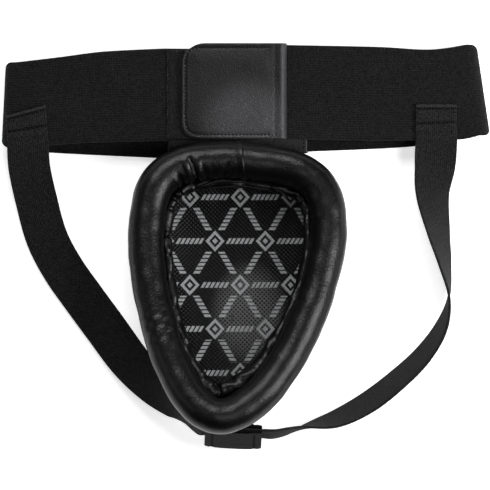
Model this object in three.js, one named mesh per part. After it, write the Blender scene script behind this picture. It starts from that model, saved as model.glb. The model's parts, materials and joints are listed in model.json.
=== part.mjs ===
// Groin protector for boxing and martial arts: a padded cup on an elastic waistband with two leg straps.
// It lies on the dome of its cup with the body side up, the way it is laid out on a table.
// Millimetres. +Z is up, +Y runs from the cup to the waistband, and +X is the wearer's right.
import * as THREE from "three";

// ---- Driving dimensions ----
const ELASTIC = 1.8; // thickness of the knitted elastic
const LEATHER = 1.2; // thickness of one layer of synthetic leather
const LAYER_GAP = 0.1; // air between flat layers that touch
const CLEARANCE = 0.3; // air between curved pieces that touch

const FOLD_RADIUS = 6; // middle of the elastic where the waistband turns at the hips
const HIP_REACH = FOLD_RADIUS + ELASTIC / 2;

const RIM_LENGTH = 199; // outer outline of the padded rim, top edge to bottom tip
const RIM_TIP_X = -5.5; // the tip lies a little to one side of the middle
const RIM_HALF = 73; // half of its width
const RIM_WIDEST = 61; // distance of the widest place from the top edge
const ROLL_RADIUS = 12.3; // the rim's round bumper
const CUP_PITCH = THREE.MathUtils.degToRad(-12); // the bottom of the cup is raised
const CUP_YAW = THREE.MathUtils.degToRad(-3);
const CUP_TOP = new THREE.Vector2(-1, 65.2); // middle of the rim's top edge

const BOWL_DEPTH = 17; // lining at its deepest, below the bowl's edge
const BOWL_CENTRE = 112; // distance of the deepest place from the rim's top edge
const RIM_RISE = 5; // the rim curves up at both ends to follow the body

const STRAP_WIDTH = 28;
const TAB_WIDTH = 38; // leather tab that holds the leg straps under the cup
const TAB_LENGTH = 38;
const TAB_SLOT = 2.4;
const TAB_SHIFT = 4.3; // the tab is sewn on a little to the right of the cup's middle
const STRAP_INSET = 1.5; // from the tab's sewn edge to the straps' upper edge

const THREAD = 0.45; // radius of the sewing thread

// ---- Materials ----
const material = (color, roughness, metalness = 0) =>
  new THREE.MeshStandardMaterial({ color, roughness, metalness });
const leather = material(0x17171a, 0.38);
const elastic = material(0x1b1b1e, 0.9);
const lining = material(0x202124, 0.7);
const foam = material(0x3a3a3d, 0.95);
const shellPlastic = material(0x101012, 0.45);
const loopPile = material(0x0e0e10, 1);
const hookTape = material(0x141416, 0.8);
const thread = material(0x2c2c30, 0.6);

// ---- Geometry helpers ----
function signedVolume(points, index) {
  let volume = 0;
  for (let i = 0; i < index.length; i += 3) {
    const [a, b, c] = [points[index[i]], points[index[i + 1]], points[index[i + 2]]];
    volume += a.dot(new THREE.Vector3().crossVectors(b, c)) / 6;
  }
  return volume;
}

// A closed solid skinned over rings of points. A looped solid joins its last ring to the first,
// and any other is closed at both ends by a fan around the ring's middle.
function loft(rings, looped = false) {
  const count = rings[0].length;
  const points = rings.flat();
  const index = [];
  const bands = looped ? rings.length : rings.length - 1;
  for (let i = 0; i < bands; i++)
    for (let j = 0; j < count; j++) {
      const here = i * count;
      const next = ((i + 1) % rings.length) * count;
      const k = (j + 1) % count;
      index.push(here + j, here + k, next + j, here + k, next + k, next + j);
    }
  if (!looped)
    for (const [ring, start] of [[rings[0], 0], [rings.at(-1), (rings.length - 1) * count]]) {
      const middle = ring.reduce((sum, p) => sum.add(p), new THREE.Vector3());
      points.push(middle.divideScalar(count));
      for (let j = 0; j < count; j++) {
        const [a, b] = [start + j, start + ((j + 1) % count)];
        index.push(points.length - 1, ...(start === 0 ? [b, a] : [a, b]));
      }
    }
  if (signedVolume(points, index) < 0) index.reverse();
  const geometry = new THREE.BufferGeometry().setFromPoints(points);
  geometry.setIndex(index);
  geometry.computeVertexNormals();
  return geometry;
}

// A flat piece of sheet from z up, cut to an outline.
function plate(shape, z, thickness) {
  const cut = new THREE.ExtrudeGeometry(shape, {
    depth: thickness,
    bevelEnabled: false,
    curveSegments: 5,
  });
  return cut.translate(0, 0, z);
}

// An outline through corner points, with smooth edges through the points given between them.
function outline(...edges) {
  const shape = new THREE.Shape();
  edges.forEach((edge, i) => {
    const points = edge.map(([x, y]) => new THREE.Vector2(x, y));
    if (i === 0) shape.moveTo(points[0].x, points[0].y);
    else shape.lineTo(points[0].x, points[0].y);
    if (points.length > 1) shape.splineThru(points.slice(1));
  });
  shape.closePath();
  return shape;
}

// A round thread along points.
function threadAlong(points, steps) {
  const section = new THREE.Shape().absarc(0, 0, THREAD, 0, 2 * Math.PI);
  const extrudePath = new THREE.CatmullRomCurve3(points, false, "centripetal");
  return new THREE.ExtrudeGeometry(section, {
    steps,
    extrudePath,
    bevelEnabled: false,
    curveSegments: 3,
  });
}

// A ribbon of webbing through stations [x, y, z, roll in degrees]. At roll 0 it lies flat.
function ribbon(stations, steps) {
  const path = new THREE.CatmullRomCurve3(
    stations.map(([x, y, z]) => new THREE.Vector3(x, y, z)),
    false,
    "centripetal",
  );
  const rolls = new THREE.SplineCurve(
    stations.map((station, i) => new THREE.Vector2(i, station[3])),
  );
  const rings = [];
  for (let i = 0; i <= steps; i++) {
    const u = i / steps;
    const at = path.getPoint(u);
    const along = path.getTangent(u);
    const roll = THREE.MathUtils.degToRad(rolls.getPoint(u).y);
    const flat = new THREE.Vector3(along.y, -along.x, 0).normalize();
    const up = new THREE.Vector3().crossVectors(flat, along).normalize();
    const across = flat.clone().multiplyScalar(Math.cos(roll)).addScaledVector(up, Math.sin(roll));
    const normal = new THREE.Vector3().crossVectors(along, across).normalize();
    rings.push(
      [[1, 1], [-1, 1], [-1, -1], [1, -1]].map(([a, b]) =>
        at
          .clone()
          .addScaledVector(across, (a * STRAP_WIDTH) / 2)
          .addScaledVector(normal, (b * ELASTIC) / 2),
      ),
    );
  }
  return loft(rings);
}

function named(name, geometry, look) {
  const mesh = new THREE.Mesh(geometry, look);
  mesh.name = name;
  return mesh;
}

// ---- Heights of the flat layers ----
const panelOuterZ = 0;
const frontZ = panelOuterZ + LEATHER + LAYER_GAP; // elastic at the wearer's front
const panelInnerZ = frontZ + ELASTIC + LAYER_GAP;
const backZ = frontZ + 2 * FOLD_RADIUS; // elastic at the wearer's back, over the front
const hipAxisZ = frontZ + ELASTIC / 2 + FOLD_RADIUS;
const loopZ = backZ + ELASTIC + LAYER_GAP;
const hookZ = loopZ + LEATHER + LAYER_GAP;
const tabBackingZ = hookZ + LEATHER + LAYER_GAP;
const tabFaceZ = tabBackingZ + LEATHER + LAYER_GAP;
const tabFaceThickness = 1.6;
const tabTopZ = tabFaceZ + tabFaceThickness;
const strapEndZ = backZ + ELASTIC + LAYER_GAP;

// ---- Body groups: each has its origin on the axis that it turns about ----
const root = new THREE.Group();
const waistFront = new THREE.Group();
const cupPivot = new THREE.Group();
const backLeftPivot = new THREE.Group();
const backRightPivot = new THREE.Group();
const closurePivot = new THREE.Group();
cupPivot.name = "cup_pivot";
backLeftPivot.name = "left_hip_pivot";
backRightPivot.name = "right_hip_pivot";
closurePivot.name = "closure_pivot";
root.add(waistFront, cupPivot, backLeftPivot, backRightPivot, closurePivot);

// The lines that the waistband folds round at the hips, from the bottom edge to the top edge.
const leftHip = [new THREE.Vector2(-154.8, 62.5), new THREE.Vector2(-152, 119.5)];
const rightHip = [new THREE.Vector2(157.8, 70.7), new THREE.Vector2(148.8, 131.3)];
const CLOSURE_CREASE_X = 16;

const CUP_HINGE = new THREE.Vector3(0, 61, 27); // the cup rocks about the middle of its top roll
cupPivot.position.copy(CUP_HINGE);
closurePivot.position.set(CLOSURE_CREASE_X, 98, tabTopZ + LAYER_GAP);
for (const [pivot, hip] of [[backLeftPivot, leftHip], [backRightPivot, rightHip]]) {
  const along = hip[1].clone().sub(hip[0]);
  pivot.position.set((hip[0].x + hip[1].x) / 2, (hip[0].y + hip[1].y) / 2, hipAxisZ);
  pivot.rotation.z = along.angle() - Math.PI / 2;
}
root.updateMatrixWorld(true);

// ---- Waistband, front part ----
const PANEL = { left: -51.3, right: 43, bottom: 54.6, top: 116, rise: 4.2 };

// The panel's right side sits higher than its left.
function panelRise(x) {
  return (PANEL.rise * (x - PANEL.left)) / (PANEL.right - PANEL.left);
}

function panelShape(inset) {
  const { left, right, bottom, top, rise } = PANEL;
  return outline(
    [[left + inset, bottom]],
    [[right - inset, bottom + rise]],
    [[right - inset, top + rise - inset]],
    [[left + inset, top - inset]],
  );
}

function buildPanel() {
  const innerInset = 0.5; // the inner layer is cut a little smaller
  waistFront.add(
    named("front_panel_outer", plate(panelShape(0), panelOuterZ, LEATHER), leather),
    named("front_panel_inner", plate(panelShape(innerInset), panelInnerZ, LEATHER), leather),
  );
  const seamZ = panelInnerZ + LEATHER + THREAD + LAYER_GAP;
  const seamInset = 3;
  for (const [name, x] of [
    ["panel_seam_left", PANEL.left + seamInset],
    ["panel_seam_right", PANEL.right - seamInset],
  ]) {
    const ends = [PANEL.bottom + seamInset, PANEL.top - seamInset].map(
      (y) => new THREE.Vector3(x, y + panelRise(x), seamZ),
    );
    waistFront.add(named(name, threadAlong(ends, 1), thread));
  }
}

function buildFrontElastic() {
  const tuck = 6; // the elastic's end lies between the two layers of the panel
  const left = outline(
    [[leftHip[0].x, leftHip[0].y], [-130.7, 59.3], [-57.7, 55.6]],
    [[PANEL.left + tuck, 55.6]],
    [[PANEL.left + tuck, 115.3]],
    [[-57.7, 115.3], [-125, 118], [leftHip[1].x, leftHip[1].y]],
  );
  const right = outline(
    [[PANEL.right - tuck, 59.5]],
    [[46.3, 60], [113, 63.3], [rightHip[0].x, rightHip[0].y]],
    [[rightHip[1].x, rightHip[1].y], [113, 123.5], [46, 119.8]],
    [[PANEL.right - tuck, 119.5]],
  );
  waistFront.add(
    named("waistband_front_left", plate(left, frontZ, ELASTIC), elastic),
    named("waistband_front_right", plate(right, frontZ, ELASTIC), elastic),
  );
}

// The elastic turns half a circle round each hip. Its ends stay clear of the flat stretches.
function hipFold(pivot, hip, facing) {
  const quarter = Math.PI / 2 - CLEARANCE / FOLD_RADIUS;
  const [from, to] = [facing - quarter, facing + quarter];
  const section = new THREE.Shape();
  section.absarc(0, 0, HIP_REACH, from, to, false);
  section.absarc(0, 0, HIP_REACH - ELASTIC, to, from, true);
  section.closePath();
  const length = hip[0].distanceTo(hip[1]);
  const turn = new THREE.ExtrudeGeometry(section, {
    depth: length,
    bevelEnabled: false,
    curveSegments: 6,
  });
  turn.rotateX(Math.PI / 2).translate(0, length / 2, 0);
  return turn.applyMatrix4(pivot.matrixWorld);
}

function buildHipFolds() {
  const left = hipFold(backLeftPivot, leftHip, Math.PI);
  const right = hipFold(backRightPivot, rightHip, 0);
  waistFront.add(
    named("waistband_fold_left", left, elastic),
    named("waistband_fold_right", right, elastic),
  );
}

// ---- Waistband, back parts ----
function buildBackLeft() {
  const end = CLOSURE_CREASE_X - 4;
  const band = outline(
    [[leftHip[0].x, leftHip[0].y], [-123, 64.3], [-93, 66], [end, 67.8]],
    [[end, 128]],
    [[-53, 128.7], [-93, 126.7], [-123, 122.9], [leftHip[1].x, leftHip[1].y]],
  );
  const patch = { left: -51.3, right: end - 1, bottom: 68.5, top: 127.5 };
  const patchShape = outline(
    [[patch.left, patch.bottom]],
    [[patch.right, patch.bottom]],
    [[patch.right, patch.top]],
    [[patch.left, patch.top]],
  );
  const inset = 1.6;
  const threadZ = loopZ + LEATHER + THREAD + LAYER_GAP;
  const shown = 8; // the rest of the seam is under the closure tab
  const turn = 1.5; // the seam rounds the patch's corners
  const [seamLeft, seamLow, seamHigh] = [patch.left + inset, patch.bottom + inset, patch.top - inset];
  const visible = [
    [patch.left + shown, seamLow],
    [seamLeft + turn, seamLow],
    [seamLeft, seamLow + turn],
    [seamLeft, seamHigh - turn],
    [seamLeft + turn, seamHigh],
    [patch.left + shown, seamHigh],
  ].map(([x, y]) => new THREE.Vector3(x, y, threadZ));
  addTo(backLeftPivot, [
    named("waistband_back_left", plate(band, backZ, ELASTIC), elastic),
    named("loop_patch", plate(patchShape, loopZ, LEATHER), loopPile),
    named("loop_patch_stitching", threadAlong(visible, 30), thread),
  ]);
}

function buildBackRight() {
  const start = CLOSURE_CREASE_X;
  const band = outline(
    [[start, 68.5]],
    [[89, 67], [112, 67.3], [144, 67.8], [rightHip[0].x, rightHip[0].y]],
    [[rightHip[1].x, rightHip[1].y], [124, 128], [89, 129.8], [29, 131]],
    [[start, 131]],
  );
  addTo(backRightPivot, [named("waistband_back_right", plate(band, backZ, ELASTIC), elastic)]);
}

// A strap's sewn end: the webbing is turned under, so it is two layers thick on the waistband.
function buildStrapEnd(pivot, side, middle, tilt) {
  const height = 24;
  const [upperRow, lowerRow] = [2.5, 12.5]; // the stitch rows' distances below the top edge
  const rowInset = 1.5;
  const trim = 0.4; // the webbing draws in a little where it is sewn
  const group = new THREE.Group();
  group.position.set(middle.x, middle.y, 0);
  group.rotation.z = tilt;
  const half = STRAP_WIDTH / 2 - trim;
  const layers = 2 * ELASTIC;
  const shape = outline(
    [[-half, -height / 2]],
    [[half, -height / 2]],
    [[half, height / 2]],
    [[-half, height / 2]],
  );
  const pieces = [
    named(`leg_strap_${side}_hem`, plate(shape, strapEndZ, layers), elastic),
    ...[["upper", height / 2 - upperRow], ["lower", height / 2 - lowerRow]].map(([row, y]) => {
      const z = strapEndZ + layers + THREAD + LAYER_GAP;
      const ends = [-half + rowInset, half - rowInset].map((x) => new THREE.Vector3(x, y, z));
      return named(`leg_strap_${side}_stitch_${row}`, threadAlong(ends, 1), thread);
    }),
  ];
  group.add(...pieces);
  root.add(group);
  group.updateMatrixWorld(true);
  addTo(pivot, pieces);
  root.remove(group);
}

// ---- Closure tab ----
const CLOSURE = { left: -41.7, right: 28.5, bottom: 68.3, top: 132.2, corner: 11 };

function closureShape(inset, right, corner) {
  const { left, bottom, top } = CLOSURE;
  const shape = new THREE.Shape();
  shape.moveTo(right, bottom + inset);
  shape.lineTo(right, top - inset);
  shape.lineTo(left + inset + corner, top - inset);
  shape.absarc(left + inset + corner, top - inset - corner, corner, Math.PI / 2, Math.PI, false);
  shape.lineTo(left + inset, bottom + inset + corner);
  const low = bottom + inset + corner;
  shape.absarc(left + inset + corner, low, corner, Math.PI, 1.5 * Math.PI, false);
  shape.closePath();
  return shape;
}

function buildClosure() {
  const edge = CLOSURE_CREASE_X - 0.5;
  const stitchInset = 3.2;
  const threadZ = tabTopZ + THREAD + LAYER_GAP;
  const { left, bottom, top, corner } = CLOSURE;
  const seamEnd = CLOSURE_CREASE_X - 2;
  const stitch = [
    [seamEnd, bottom + stitchInset],
    [left + stitchInset + corner, bottom + stitchInset],
    [left + stitchInset + 2, bottom + stitchInset + corner / 3],
    [left + stitchInset, bottom + stitchInset + corner],
    [left + stitchInset, top - stitchInset - corner],
    [left + stitchInset + 2, top - stitchInset - corner / 3],
    [left + stitchInset + corner, top - stitchInset],
    [seamEnd, top - stitchInset],
  ].map(([x, y]) => new THREE.Vector3(x, y, threadZ));
  const backingInset = 0.6;
  const hookInset = 4;
  const hookEdge = edge - 8;
  addTo(closurePivot, [
    named("closure_tab_face", plate(closureShape(0, edge, corner), tabFaceZ, tabFaceThickness), leather),
    named(
      "closure_tab_backing",
      plate(closureShape(backingInset, edge - 1, corner), tabBackingZ, LEATHER),
      leather,
    ),
    named("hook_patch", plate(closureShape(hookInset, hookEdge, corner - 3), hookZ, LEATHER), hookTape),
    named("closure_tab_stitching", threadAlong(stitch, 44), thread),
  ]);
}

// The end of the tab is wrapped over the end of the elastic and sewn: it drops from the tab to the band.
function buildClosureRoot() {
  const { right, bottom, top } = CLOSURE;
  const low = backZ + ELASTIC + LAYER_GAP;
  const [rounding, sag] = [5, 0.2];
  const section = new THREE.Shape();
  section.moveTo(CLOSURE_CREASE_X, low);
  section.lineTo(right, low);
  section.quadraticCurveTo(right, tabTopZ - 3 * sag, right - rounding, tabTopZ - sag);
  section.lineTo(CLOSURE_CREASE_X, tabTopZ);
  section.closePath();
  const wrap = new THREE.ExtrudeGeometry(section, {
    depth: top - bottom,
    bevelEnabled: false,
    curveSegments: 6,
  });
  wrap.rotateX(Math.PI / 2).translate(0, top, 0);
  addTo(backRightPivot, [named("closure_tab_root", wrap, leather)]);
}

// ---- Cup ----
const RIM_STEPS = 44;
const cup = new THREE.Group(); // its own frame: origin at the rim's top edge, -Y down the cup
cup.rotation.set(CUP_PITCH, 0, CUP_YAW, "ZXY");

function rimOutline() {
  const topFlat = 54;
  const shoulder = 45;
  const flankRight = 43;
  const flankLeft = 37;
  const tipFlat = 45;
  const [w, y, end] = [RIM_HALF, -RIM_WIDEST, -RIM_LENGTH];
  const path = new THREE.Path();
  path.moveTo(0, 0);
  path.bezierCurveTo(topFlat, 0, w, y + shoulder, w, y);
  path.bezierCurveTo(w, y - flankRight, RIM_TIP_X + tipFlat, end, RIM_TIP_X, end);
  path.bezierCurveTo(RIM_TIP_X - tipFlat, end, -w, y - flankLeft, -w, y);
  path.bezierCurveTo(-w, y + shoulder, -topFlat, 0, 0, 0);
  return path.getSpacedPoints(RIM_STEPS).slice(0, RIM_STEPS);
}

const rim = rimOutline();
// The outline runs clockwise, so the inside is to the right of its direction.
const rimInward = rim.map((_, i) => {
  const before = rim[(i + RIM_STEPS - 1) % RIM_STEPS];
  const after = rim[(i + 1) % RIM_STEPS];
  const along = after.clone().sub(before).normalize();
  return new THREE.Vector2(along.y, -along.x);
});
const inset = (i, distance) => rim[i].clone().addScaledVector(rimInward[i], distance);

// Height of the rim above its own plane: it curves up towards both ends.
function rimRise(y) {
  const middle = 80;
  const reach = 110;
  return RIM_RISE * ((-y - middle) / reach) ** 2;
}
const onCup = (x, y, z) => new THREE.Vector3(x, y, z + rimRise(y));

// A point of the roll's section: angle 0 is inward, 90 degrees up, 180 outward.
function onRoll(i, radius, degrees) {
  const angle = THREE.MathUtils.degToRad(degrees);
  const flat = inset(i, ROLL_RADIUS + radius * Math.cos(angle));
  return onCup(flat.x, flat.y, radius * Math.sin(angle));
}

// A ring of one section all the way round the rim: the section is a list of [radius, degrees].
function rimRing(section) {
  return loft(
    rim.map((_, i) => section.map(([radius, degrees]) => onRoll(i, radius, degrees))),
    true,
  );
}

// A thick arc round the roll from one angle to another, as a closed section.
function arcSection(inner, outer, from, to, steps) {
  const angles = Array.from({ length: steps + 1 }, (_, i) => from + ((to - from) * i) / steps);
  return [
    ...angles.map((a) => [outer, a]),
    ...[...angles].reverse().map((a) => [inner, a]),
  ];
}

const BOWL_EDGE_Z = -ROLL_RADIUS - 0.4;
const LINING_EDGE = 20; // the lining's face meets the bowl's edge this far inside the rim's outline

// One surface of the bowl, as rings from the edge in to the middle: the edge lies insetBy inside the
// rim's outline, and the middle lies extra below the lining.
function bowlRings(insetBy, extra) {
  const [fullness, squareness] = [2.4, 1.8];
  const shares = [1, 0.98, 0.92, 0.8, 0.6, 0.34];
  return shares.map((share) =>
    rim.map((_, i) => {
      const edge = inset(i, insetBy);
      const x = edge.x * share;
      const y = -BOWL_CENTRE + (edge.y + BOWL_CENTRE) * share;
      const drop = (BOWL_DEPTH + extra) * (1 - share ** fullness) ** (1 / squareness);
      return onCup(x, y, BOWL_EDGE_Z - drop);
    }),
  );
}

// A layer of the cup, between two depths measured outward from the lining's face.
function bowlLayer(from, to) {
  return loft([
    ...bowlRings(LINING_EDGE - from, from).reverse(),
    ...bowlRings(LINING_EDGE - to, to),
  ]);
}

function buildCupLayers() {
  const layers = [
    ["cup_lining", 1, lining],
    ["cup_foam_liner", 4, foam],
    ["cup_shell", 3, shellPlastic],
    ["cup_outer_cover", 1.4, leather],
  ];
  let depth = 0;
  for (const [name, thickness, look] of layers) {
    cup.add(named(name, bowlLayer(depth, depth + thickness), look));
    depth += thickness + CLEARANCE;
  }
}

function buildRim() {
  const [skinFrom, skinTo] = [-46, 286]; // the cover's two edges meet below, on the inner side
  const [weltFrom, weltTo] = [-58, -25];
  const weltRadius = ROLL_RADIUS + 1.5;
  const skin = arcSection(ROLL_RADIUS - LEATHER, ROLL_RADIUS, skinFrom, skinTo, 12);
  const coreRadius = ROLL_RADIUS - LEATHER - 2 * CLEARANCE;
  const coreSides = 10;
  const core = Array.from({ length: coreSides }, (_, i) => [coreRadius, (360 * i) / coreSides]);
  const welt = arcSection(ROLL_RADIUS + CLEARANCE, weltRadius, weltFrom, weltTo, 2);
  cup.add(
    named("rim_foam_core", rimRing(core), foam),
    named("rim_cover", rimRing(skin), leather),
    named("rim_welt", rimRing(welt), leather),
  );

  // The seam starts and ends at the middle of the top edge, a stitch apart.
  const [seamInset, seamDrop] = [1.3, 0.6];
  const stitch = rim.map((_, i) => {
    const flat = inset(i, LINING_EDGE + seamInset);
    return onCup(flat.x, flat.y, BOWL_EDGE_Z - seamDrop);
  });
  cup.add(named("rim_stitching", threadAlong(stitch, RIM_STEPS), thread));
}

// The two ends of the roll's cover overlap at the middle of the top edge.
function buildSplice() {
  const width = 10;
  const [lapFrom, lapTo] = [-12, 225];
  const lap = arcSection(ROLL_RADIUS + 2 * CLEARANCE, ROLL_RADIUS + 1.5, lapFrom, lapTo, 12);
  const section = new THREE.Shape(
    lap.map(([radius, degrees]) => {
      const angle = THREE.MathUtils.degToRad(degrees);
      return new THREE.Vector2(radius * Math.cos(angle), radius * Math.sin(angle));
    }),
  );
  const wrap = new THREE.ExtrudeGeometry(section, { depth: width, bevelEnabled: false });
  // The section's X points into the cup, and its Y points up.
  wrap.applyMatrix4(
    new THREE.Matrix4().makeBasis(
      new THREE.Vector3(0, -1, 0),
      new THREE.Vector3(0, 0, 1),
      new THREE.Vector3(-1, 0, 0),
    ),
  );
  wrap.translate(width / 2, -ROLL_RADIUS, rimRise(-ROLL_RADIUS));
  cup.add(named("rim_cover_splice", wrap, leather));
}

// ---- Leather tab under the cup, which holds the lower ends of the leg straps ----
const strapTab = new THREE.Group(); // X across, -Y down the tab, Z its thickness
const TAB_SLOPE = THREE.MathUtils.degToRad(84);
const TAB_ROOT = 7.9; // distance of the tab's sewn edge from the rim's bottom tip
const TAB_ROOT_Z = -15.5; // just under the roll
strapTab.position.copy(onCup(TAB_SHIFT, TAB_ROOT - RIM_LENGTH, TAB_ROOT_Z));
strapTab.rotation.x = TAB_SLOPE;
cup.add(strapTab);

function buildStrapTab() {
  const outer = TAB_SLOT / 2 + LEATHER;
  const inner = TAB_SLOT / 2;
  const turn = TAB_LENGTH - outer;
  const section = new THREE.Shape();
  section.moveTo(-outer, 0);
  section.lineTo(-outer, turn);
  section.absarc(0, turn, outer, Math.PI, 0, true);
  section.lineTo(outer, 0);
  section.lineTo(inner, 0);
  section.lineTo(inner, turn);
  section.absarc(0, turn, inner, 0, Math.PI, false);
  section.lineTo(-inner, 0);
  section.closePath();
  const fold = new THREE.ExtrudeGeometry(section, {
    depth: TAB_WIDTH,
    bevelEnabled: false,
    curveSegments: 5,
  });
  // The section's X becomes the tab's thickness, and its Y runs down the tab.
  fold.applyMatrix4(
    new THREE.Matrix4().makeBasis(
      new THREE.Vector3(0, 0, 1),
      new THREE.Vector3(0, -1, 0),
      new THREE.Vector3(1, 0, 0),
    ),
  );
  fold.translate(-TAB_WIDTH / 2, 0, 0);
  strapTab.add(named("strap_tab", fold, leather));

  for (const [side, sign] of [["left", -1], ["right", 1]]) {
    const [near, far] = [0.5, TAB_WIDTH / 2]; // the two straps meet in the middle of the tab
    const tail = new THREE.BoxGeometry(far - near, STRAP_WIDTH, ELASTIC);
    tail.translate((sign * (near + far)) / 2, -STRAP_INSET - STRAP_WIDTH / 2, 0);
    const z = outer + THREAD + LAYER_GAP;
    const [seamInset, seamTop, seamBottom] = [5, 8, 3];
    const x = sign * (TAB_WIDTH / 2 - seamInset);
    const ends = [-seamTop, seamBottom - TAB_LENGTH].map((y) => new THREE.Vector3(x, y, -z));
    strapTab.add(
      named(`leg_strap_${side}_tail`, tail, elastic),
      named(`strap_tab_stitching_${side}`, threadAcross(ends), thread),
    );
  }
}

// A straight thread between two points of one X.
function threadAcross([start, end]) {
  const stick = new THREE.CylinderGeometry(THREAD, THREAD, start.distanceTo(end), 6);
  return stick.translate(start.x, (start.y + end.y) / 2, start.z);
}

// A place in the tab's plane beside its mouth, in the part's frame: side -1 is left and 1 is right.
function besideTab(side, reach) {
  const middle = STRAP_INSET + STRAP_WIDTH / 2;
  return strapTab.localToWorld(new THREE.Vector3(side * (TAB_WIDTH / 2 + reach), -middle, 0));
}

// ---- The soft neck that joins the cup to the front panel ----
// One sheet of leather: it leaves the panel's lower edge flat, then climbs to the cup's edge under the roll.
function buildNeck() {
  const stations = [-44, -33, -22, -11, 0, 11, 22, 33, 44];
  const shift = (PANEL.left + PANEL.right) / 2;
  const half = LEATHER / 2;
  const flatZ = 2.3; // middle of the sheet where it leaves the panel
  const sewnZ = -15.6; // height of the seam in the cup's own frame
  const [sewnInset, shoulderDrop] = [7.4, 16]; // the seam falls back from the cup's top edge to its shoulders
  const rings = stations.map((x) => {
    const seamY = -sewnInset - shoulderDrop * (Math.abs(x) / RIM_HALF) ** 3;
    const atCup = (y) => cup.localToWorld(onCup(x, y, sewnZ));
    const panelX = x + shift;
    const edge = PANEL.bottom + panelRise(panelX) - CLEARANCE;
    const atPanel = (y, z) => new THREE.Vector3(panelX, edge - y, flatZ + z);
    return [
      atPanel(0, half),
      atPanel(0, -half),
      atPanel(LEATHER + half, -half),
      atCup(seamY - half),
      atCup(seamY + half),
      atPanel(half, half),
    ];
  });
  waistFront.add(named("cup_neck", loft(rings), leather));
}

// ---- Leg straps ----
function buildStraps() {
  const low = ELASTIC / 2 + 0.4;
  const onBand = strapEndZ + ELASTIC / 2;
  const slope = THREE.MathUtils.radToDeg(TAB_SLOPE + CUP_PITCH);
  const atTab = (side, reach) => [...besideTab(side, reach).toArray(), side * slope];
  const left = [
    [-143.8, 63, onBand, 0],
    [-143.2, 50.5, 13, 0],
    [-138.6, 28, 4.2, 0],
    [-131.4, 2, low, 0],
    [-121, -18, low, 0],
    [-107, -38, low, 0],
    [-92.3, -58, low + 0.8, -2],
    [-77, -78.8, 6, -12],
    [-61.7, -95.5, 14, -32],
    [-48.8, -107, 23, -54],
    [-39.5, -115, 28, -72],
    atTab(-1, 3.5),
    atTab(-1, 0.6),
  ];
  const right = [
    [128.6, 66.3, onBand, 0],
    [128.2, 58, 16.1, 2],
    [127.8, 50, 14.8, 14],
    [126.2, 31.5, 11.8, 37],
    [130.2, 5, 13.6, 58],
    [134.2, -15, 14.9, 73],
    [137, -37.5, 15.4, 90],
    [131.8, -57.5, 15.4, 106],
    [119.6, -76, 14.6, 114],
    [102, -93, 14.4, 118],
    [82.3, -108, 15.5, 119],
    [61, -119, 20, 112],
    [39.5, -124.5, 27, 92],
    atTab(1, 7),
    atTab(1, 0.6),
  ];
  waistFront.add(
    named("leg_strap_left", ribbon(left, 36), elastic),
    named("leg_strap_right", ribbon(right, 44), elastic),
  );
}

// ---- Assembly ----
// Meshes made in the part's frame, handed to a group that turns about its own axis.
function addTo(pivot, meshes) {
  for (const mesh of meshes) {
    mesh.updateWorldMatrix(true, false);
    pivot.attach(mesh);
  }
}

buildPanel();
buildFrontElastic();
buildHipFolds();
buildBackLeft();
buildBackRight();
buildClosure();
buildClosureRoot();
buildStrapEnd(backLeftPivot, "left", new THREE.Vector2(-144.6, 75.5), THREE.MathUtils.degToRad(4));
buildStrapEnd(backRightPivot, "right", new THREE.Vector2(128.6, 79.5), 0);

buildCupLayers();
buildRim();
buildSplice();
buildStrapTab();
cup.position.set(CUP_TOP.x, CUP_TOP.y, 0);
cup.updateMatrixWorld(true);
cup.position.z = -new THREE.Box3().setFromObject(cup.getObjectByName("cup_outer_cover"), true).min.z;
cup.updateMatrixWorld(true);
buildNeck();
buildStraps();
cupPivot.attach(cup);

// The origin is under the middle of the whole part, on the surface that it lies on.
const extent = new THREE.Box3().setFromObject(root, true);
const middle = extent.getCenter(new THREE.Vector3());
root.position.set(-middle.x, -middle.y, -extent.min.z);

const part = new THREE.Group();
part.add(root);
export default part;
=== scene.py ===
"""Groin protector laid out with its body side up: soft goods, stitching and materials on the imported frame."""

import json
import random
from functools import partialmethod
from math import atan2, cos, degrees, hypot, pi, radians, sin

import bpy
import numpy as np
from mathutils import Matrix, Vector


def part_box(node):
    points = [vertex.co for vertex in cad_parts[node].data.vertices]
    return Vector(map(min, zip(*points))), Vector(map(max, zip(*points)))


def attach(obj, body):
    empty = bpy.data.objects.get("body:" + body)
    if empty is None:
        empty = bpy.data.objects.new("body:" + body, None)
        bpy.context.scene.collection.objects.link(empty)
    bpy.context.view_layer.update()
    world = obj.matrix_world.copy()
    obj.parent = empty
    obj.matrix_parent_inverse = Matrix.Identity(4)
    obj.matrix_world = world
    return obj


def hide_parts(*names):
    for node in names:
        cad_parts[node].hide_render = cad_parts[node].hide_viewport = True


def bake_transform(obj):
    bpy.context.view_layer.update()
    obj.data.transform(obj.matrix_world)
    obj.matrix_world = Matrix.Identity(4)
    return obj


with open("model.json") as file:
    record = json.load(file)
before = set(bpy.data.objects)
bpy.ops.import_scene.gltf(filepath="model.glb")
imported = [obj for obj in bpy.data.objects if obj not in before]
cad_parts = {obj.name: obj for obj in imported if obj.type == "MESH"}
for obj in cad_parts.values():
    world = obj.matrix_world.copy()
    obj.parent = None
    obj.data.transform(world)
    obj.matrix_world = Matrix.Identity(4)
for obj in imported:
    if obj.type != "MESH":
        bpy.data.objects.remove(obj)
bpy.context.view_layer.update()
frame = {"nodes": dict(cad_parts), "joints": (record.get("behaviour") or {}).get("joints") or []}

MM = 0.001
UP = (0, 0, 1)
FULL_TURN = 2 * pi

# ---- Driving dimensions, in the CAD model's millimetres ----
ELASTIC = 1.8
LEATHER = 1.2
STRAP_WIDTH = 28
FOLD_RADIUS = 6

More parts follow.
